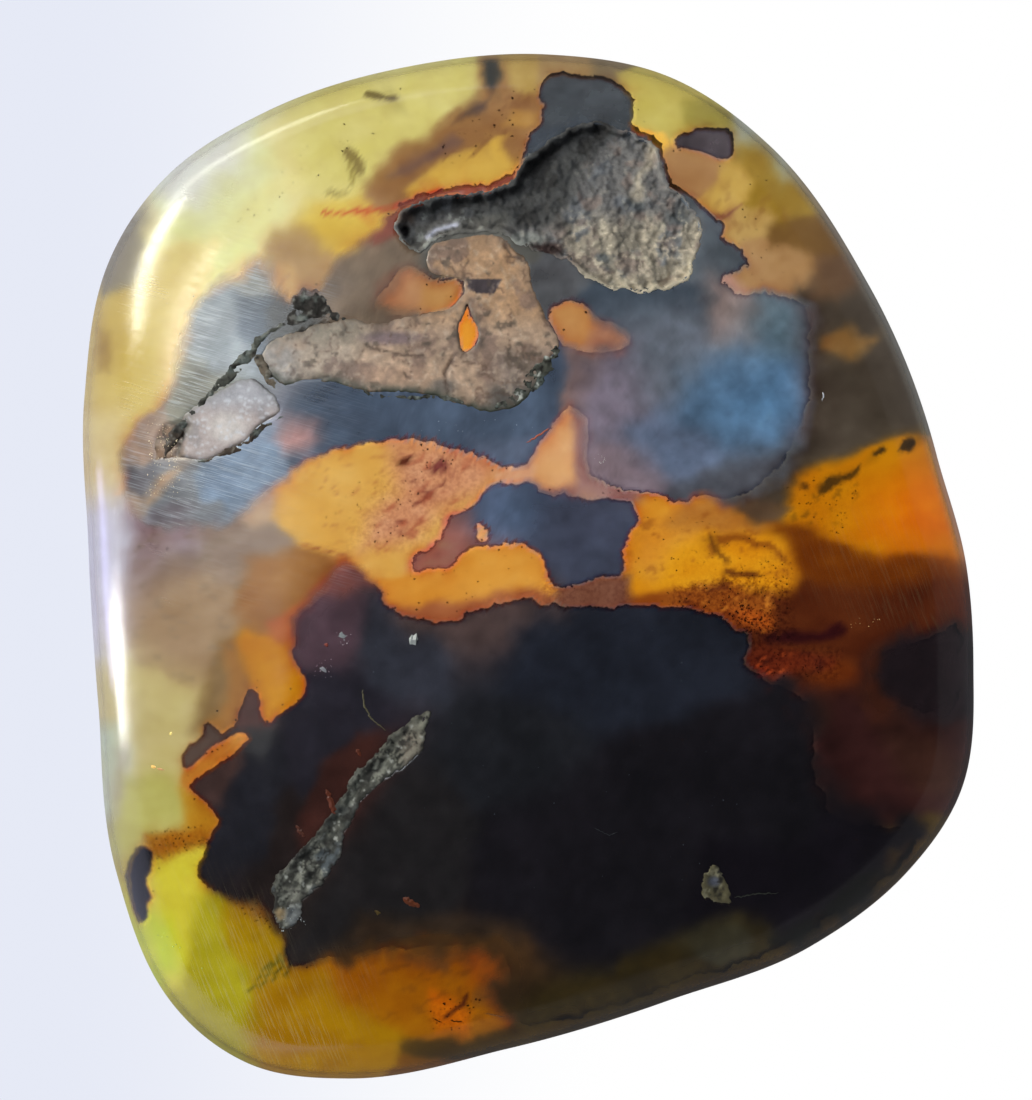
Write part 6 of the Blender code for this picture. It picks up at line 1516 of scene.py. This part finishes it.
GLINTS_AND_SPECKS = zones("""
150 0.03 0.075 1.4 60 #ecd9b4 | -18.9,7.4 -17.6,7 -17.1,5 -17.4,3.2 -19,3.6
34 0.03 0.07 1.4 60 #fff2c8 | -18.6,8.6 -16.6,13.6 -16,13.4 -17.8,8.2
12 0.04 0.1 1.6 30 #bfe07c | -19.4,-17.8 -18.6,-18 -15.6,-19.2 -16.2,-20 -18.8,-19.6
14 0.03 0.08 1.3 0 #b4b8b8 | -9.5,-3.2 -8.7,-3.3 -8.9,-3.9 -9.5,-3.8
20 0.03 0.08 1.3 0 #8c7c84 | -10.8,-4.4 -9.6,-4.6 -9.8,-5.7 -10.7,-5.4
26 0.04 0.1 1.5 0 #9aa0a0 | -12.9,-16.7 -11.4,-16.9 -11,-17.8 -12.4,-18.2
12 0.03 0.08 1.3 0 #d8d4c8 | 3.1,5.6 3.8,5.5 3.8,5 3.2,5.1
14 0.02 0.05 1.3 0 #a8b4c0 | -7,6.9 -3,6.4 1.2,7 -2,7.6
40 0.02 0.05 1.3 0 #6a7480 | -8,-3.4 8,-3 12,-8 10,-16 -6,-16
10 0.03 0.06 1.3 0 #e0b070 | 15.8,-2.5 17.4,-2.6 17.2,-3.1 15.9,-3
""")
# Drawn-out marks in the amber, and on its polish: colour, width at the start and at the end, line
INNER_MARKS = zones("""
#2a0c04 0.08 0.06 | -4.7,-22.5 -4.3,-22.7
#2a0c04 0.08 0.06 | -3.9,-22.6 -3.3,-22.7
""")
OUTER_MARKS = zones("""
#ffe27a 0.16 0.12 | -17.82,-8.28 -17.68,-8.32
#f0b85a 0.18 0.12 | -18.72,-9.9 -18.5,-9.98
#b9854c 0.12 0.08 | -18.45,-10.05 -18.1,-10.1
#f0f0f4 0.09 0.06 | 14.58,8.65 14.62,8.4 14.55,8.2
#3c3e34 0.07 0.05 | 10.2,-16.4 11.2,-16.25 12.4,-16.2
#8a5a34 0.05 0.04 | -2.2,-22.2 -1.2,-22.4
#b05a40 0.06 0.1 | -0.1,6.1 0.5,6.5 1,6.8
#5c563c 0.1 0.05 | -8.2,-6.1 -8.15,-6.8 -7.8,-7.5 -7,-8.1
#a8aca8 0.5 0.5 | -5.92,-3.6 -5.48,-3.62
#7c3020 0.26 0.22 | -10.1,-3.8 -9.9,-3.9
#8a9090 0.24 0.16 | -9.4,-3.35 -9,-3.45
#8a8c90 0.22 0.14 | -10.3,-5 -10,-5.2
#6e3820 0.34 0.24 | -6.2,-16.4 -5.4,-16.85
#5a4820 0.2 0.16 | -7.6,-17.05 -7.35,-17.15
#5e2c1a 0.22 0.16 | -8.5,-9 -8.3,-9.35
#5e2c1a 0.2 0.26 | -10,-11 -9.75,-11.6 -9.6,-12.2
#522a1c 0.24 0.16 | -11.5,-12.8 -11.1,-13.4
#303234 0.05 0.04 | 3.2,-12.9 4,-13.3 4.4,-13.1
""")
# The crumbs beside the debris, written like the scraps
CRUMBS = (900, 0.03, 0.13, 1.5, 0, "#28100a", None)


def places_in(rng, count, outline):
    """Random places inside an outline."""
    border = np.array(outline)
    low, high = border.min(axis=0), border.max(axis=0)
    found = rng.uniform(low, high, (count * 12, 2))
    return found[distance_inside(found[:, 0], found[:, 1], outline) > 0][:count]


def beside_debris(rng, count):
    """Random places close to the crisp borders of the debris."""
    around = np.concatenate([np.array(loop) for border, holes in TORN for loop in [border] + holes])
    found = around[rng.integers(0, len(around), count * 2)]
    angle = rng.uniform(0, math.tau, len(found))
    reach = rng.exponential(0.22, len(found))
    found = found + np.column_stack([np.cos(angle), np.sin(angle)]) * reach[:, None]
    x, y = found[:, 0], found[:, 1]
    keep = (debris_distance(x, y) < 0.02) & (softness(x, y) < 0.3)
    keep &= noise(x, y, 1.5, 81) > -0.35
    return found[keep][:count]


CORNERS = np.array([(1, 0, 0), (0, 1, 0), (-1, 0, 0), (0, -1, 0), (0, 0, 1), (0, 0, -1)], float)
SIDES = np.array([(0, 1, 4), (1, 2, 4), (2, 3, 4), (3, 0, 4), (1, 0, 5), (2, 1, 5), (3, 2, 5), (0, 3, 5)])


def scraps(rng, count, small, large, long, angle, colour):
    """Irregular eight-sided scraps: points, faces and colours."""
    size = small + (large - small) * rng.random(count) ** 2.2
    shape = CORNERS[None] * rng.uniform(0.55, 1.3, (count, 6, 1)) * 0.5 * size[:, None, None]
    shape[:, :, 0] *= rng.uniform(1.0, long, count)[:, None]
    shape[:, :, 2] *= 0.5
    turn = np.radians(angle) + rng.normal(0, 0.5 if long > 1.35 else 3.0, count)
    x = shape[:, :, 0] * np.cos(turn)[:, None] - shape[:, :, 1] * np.sin(turn)[:, None]
    y = shape[:, :, 0] * np.sin(turn)[:, None] + shape[:, :, 1] * np.cos(turn)[:, None]
    points = np.stack([x, y, shape[:, :, 2]], axis=2)
    faces = (np.arange(count)[:, None, None] * 6 + SIDES[None]).reshape(-1, 3)
    tint = linear(colour) * rng.uniform(0.6, 1.4, (count, 1))
    return points, faces, np.repeat(tint, 6, axis=0)


def lines_of(marks, seed):
    """Thin drawn-out marks with a four-sided section: seen places, faces and colours."""
    rng = np.random.default_rng(seed)
    points, faces, tints = [], [], []
    for colour, start_width, end_width, line in marks:
        line = np.array(line)
        far = np.concatenate([[0], np.cumsum(np.hypot(*np.diff(line, axis=0).T))])
        count = max(4, int(far[-1] / 0.08))
        t = np.linspace(0, far[-1], count)
        x = np.interp(t, far, line[:, 0]) + rng.normal(0, 0.02, count)
        y = np.interp(t, far, line[:, 1]) + rng.normal(0, 0.02, count)
        along = np.gradient(np.column_stack([x, y]), axis=0)
        along /= np.hypot(along[:, 0], along[:, 1])[:, None] + 1e-9
        share = t / far[-1]
        width = (start_width + (end_width - start_width) * share) * rng.uniform(0.7, 1.3, count)
        width = 0.5 * width * np.sqrt(np.clip(1 - np.abs(2 * share - 1) ** 4, 0.05, 1))
        first = len(points)
        for k in range(count):
            side = np.array([-along[k, 1], along[k, 0]]) * width[k]
            points += [(x[k] + side[0], y[k] + side[1], 0), (x[k], y[k], 0.4 * width[k]),
                       (x[k] - side[0], y[k] - side[1], 0), (x[k], y[k], -0.4 * width[k])]
        for k in range(count - 1):
            for n in range(4):
                a, b = first + 4 * k + n, first + 4 * k + (n + 1) % 4
                faces.append((a, a + 4, b + 4, b))
        end = first + 4 * (count - 1)
        faces += [(first, first + 1, first + 2, first + 3), (end + 3, end + 2, end + 1, end)]
        tints += [linear(colour)] * (4 * count)
    return np.array(points), faces, np.array(tints)


def small_things(name, table, marks, look, surface, sunk, seed):
    """One piece of all scraps and marks on a surface; sunk ones are seen through the polish."""
    def set_down(found):
        x, y = found[:, 0], found[:, 1]
        return place_under_dome(x, y, surface) if sunk else (x, y)

    rng = np.random.default_rng(seed)
    groups = []
    for count, *settings, outline in table:
        found = places_in(rng, count, outline) if outline else beside_debris(rng, count)
        groups.append((found, scraps(rng, len(found), *settings)))
    points, faces, tints = [], [], []
    count = 0
    for found, (shape, sides, tint) in groups:
        x, y = set_down(found)
        z = surface(x, y) + rng.uniform(-0.12, 0.12, len(x)) * sunk
        points.append((shape + np.column_stack([x, y, z])[:, None, :]).reshape(-1, 3))
        faces += (sides + count).tolist()
        tints.append(tint)
        count += len(tint)
    found, sides, tint = lines_of(marks, seed + 1)
    x, y = set_down(found)
    points.append(np.column_stack([x, y, surface(x, y) + found[:, 2]]))
    faces += [tuple(i + count for i in side) for side in sides]
    tints.append(tint)
    new_mesh(name, np.concatenate(points), faces, look, {"tint": np.concatenate(tints)}, flat=True)


# Build

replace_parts(amber_stone(), "amber_top", "amber_bottom")

dark = debris_material()
for number, (key, slot, colour, _, _) in enumerate(DEBRIS):
    debris_piece(number, key, colour, dark)

calcite = mineral_material("polished_calcite", 2600, 0.16, 0.30, 0.50, 0.00002)
rock = mineral_material("rough_rock", 3200, 0.17, 0.75, 0.95, 0.00005)
set_mineral("calcite_patch_face", "calcite_patch", CALCITE_PATCH, [DROP_WINDOW], calcite,
            CALCITE_SPACING, 1.1, calcite_colour, calcite_relief, 0.10, 1)
set_mineral("calcite_tongue_face", "calcite_tongue", CALCITE_TONGUE, [], calcite,
            CALCITE_SPACING, 1.1, tongue_colour, tongue_relief, 0.10, 2)
set_mineral("pit_rock", "pit_crust", PIT_FACE, [], rock,
            ROCK_SPACING, PIT_DEPTH, crust_colour, crust_relief, 0.2, 3)
for number, (name, outline) in enumerate(GRIT_BANDS):
    set_mineral(name, None, outline, [], rock,
                ROCK_SPACING, 0.35, grit_colour, grit_relief, 0.14, 20 + number)
set_mineral("vein_rock", "vein_crust", VEIN_CRUST, [], rock,
            ROCK_SPACING, 1.0, vein_colour, vein_relief, 0.2, 4)
set_mineral("chip_rock", "stone_chip", STONE_CHIP, [], rock,
            ROCK_SPACING, 0.8, chip_colour, vein_relief, 0.2, 5)

small_things("debris_crumbs", [CRUMBS] + SCRAPS, INNER_MARKS, dark,
             lambda x, y: parting_z(x, y) - GAP - 0.1, True, 61)
small_things("polish_specks", GLINTS_AND_SPECKS, OUTER_MARKS, calcite,
             lambda x, y: dome_z(x, y) + 0.01, False, 62)


# Floor, light and camera, in metres

FLOOR_HALF = 3.0
FLOOR_DROP = 0.00005
FLOOR_MIRRORED_LEFT = (0.70, 0.72, 0.98, 1.0)
FLOOR_MIRRORED_RIGHT = (0.13, 0.13, 0.14, 1.0)
WORLD_SEEN = (0.86, 0.88, 0.92, 1.0)
WORLD_MIRRORED = (0.030, 0.034, 0.042, 1.0)
CAMERA_PLACE = (-0.000625, 0.000825, 0.6915)


def mirror_ray(tree):
    """1 for rays that the polish mirrors, 0 for the ones that pass through it."""
    path = node(tree, "ShaderNodeLightPath").outputs
    passing = calc(tree, "SUBTRACT", 1.0, path["Is Transmission Ray"])
    return calc(tree, "MULTIPLY", path["Is Glossy Ray"], passing)


def pale_floor():
    """A glowing pale table, dimmer where the polish mirrors it."""
    half = FLOOR_HALF
    mesh = bpy.data.meshes.new("pale_floor")
    mesh.from_pydata([(-half, -half, 0), (half, -half, 0), (half, half, 0), (-half, half, 0)],
                     [], [(0, 1, 2, 3)])
    made, tree, shader = material("pale_floor")
    tree.nodes.remove(shader)
    place = node(tree, "ShaderNodeTexCoord").outputs["Object"]
    across = node(tree, "ShaderNodeSeparateXYZ", i0=place).outputs[0]
    part = ramp(tree, across, -0.025, 0.005)
    colour = mixed(tree, "MIX", part, (*BACKLIGHT_LEFT, 1.0), (*BACKLIGHT_RIGHT, 1.0))
    part = ramp(tree, across, -0.030, -0.012)
    mirrored = mixed(tree, "MIX", part, FLOOR_MIRRORED_LEFT, FLOOR_MIRRORED_RIGHT)
    colour = mixed(tree, "MIX", mirror_ray(tree), colour, mirrored)
    shine = node(tree, "ShaderNodeEmission", Color=colour, Strength=1.0)
    tree.links.new(shine.outputs[0], tree.nodes["Material Output"].inputs["Surface"])
    mesh.materials.append(made)
    floor = bpy.data.objects.new("pale_floor", mesh)
    floor.location.z = -FLOOR_DROP
    bpy.context.scene.collection.objects.link(floor)


def lamp(name, start, end, width, target, radiance, colour, mirrored):
    """A rectangular lamp along a line, facing a place."""
    start, end, target = Vector(start) * MM, Vector(end) * MM, Vector(target) * MM
    light = bpy.data.lights.new(name, "AREA")
    light.shape = "RECTANGLE"
    light.size = (end - start).length
    light.size_y = width * MM
    light.energy = radiance * math.pi * light.size * light.size_y
    light.color = colour
    item = bpy.data.objects.new(name, light)
    item.location = (start + end) / 2
    back = (item.location - target).normalized()
    along = (end - start).normalized()
    across = back.cross(along).normalized()
    along = across.cross(back)
    item.rotation_euler = Matrix((along, across, back)).transposed().to_euler()
    item.visible_camera = False
    item.visible_transmission = False
    item.visible_glossy = mirrored
    bpy.context.scene.collection.objects.link(item)


def studio_world():
    """A dim room, pale where it is seen directly or through the stone."""
    world = bpy.data.worlds.new("studio")
    world.use_nodes = True
    tree = world.node_tree
    path = node(tree, "ShaderNodeLightPath").outputs
    through = calc(tree, "MULTIPLY", path["Is Transmission Ray"],
                   calc(tree, "LESS_THAN", path["Diffuse Depth"], 0.5))
    seen = calc(tree, "MAXIMUM", path["Is Camera Ray"], through)
    colour = mixed(tree, "MIX", seen, (*DIM_WORLD, 1.0), WORLD_SEEN)
    colour = mixed(tree, "MIX", mirror_ray(tree), colour, WORLD_MIRRORED)
    tree.links.new(colour, tree.nodes["Background"].inputs["Color"])
    bpy.context.scene.world = world


def photo_camera():
    """The photo's camera, straight above the stone with a long lens."""
    data = bpy.data.cameras.new("photo_camera")
    data.sensor_width = 36.0
    data.lens = 450.0
    data.clip_start = 0.01
    data.clip_end = 20.0
    camera = bpy.data.objects.new("photo_camera", data)
    camera.location = CAMERA_PLACE
    bpy.context.scene.collection.objects.link(camera)
    bpy.context.scene.camera = camera


bpy.context.scene.view_settings.view_transform = "Standard"
pale_floor()
for settings in LAMPS:
    lamp(*settings)
studio_world()
photo_camera()
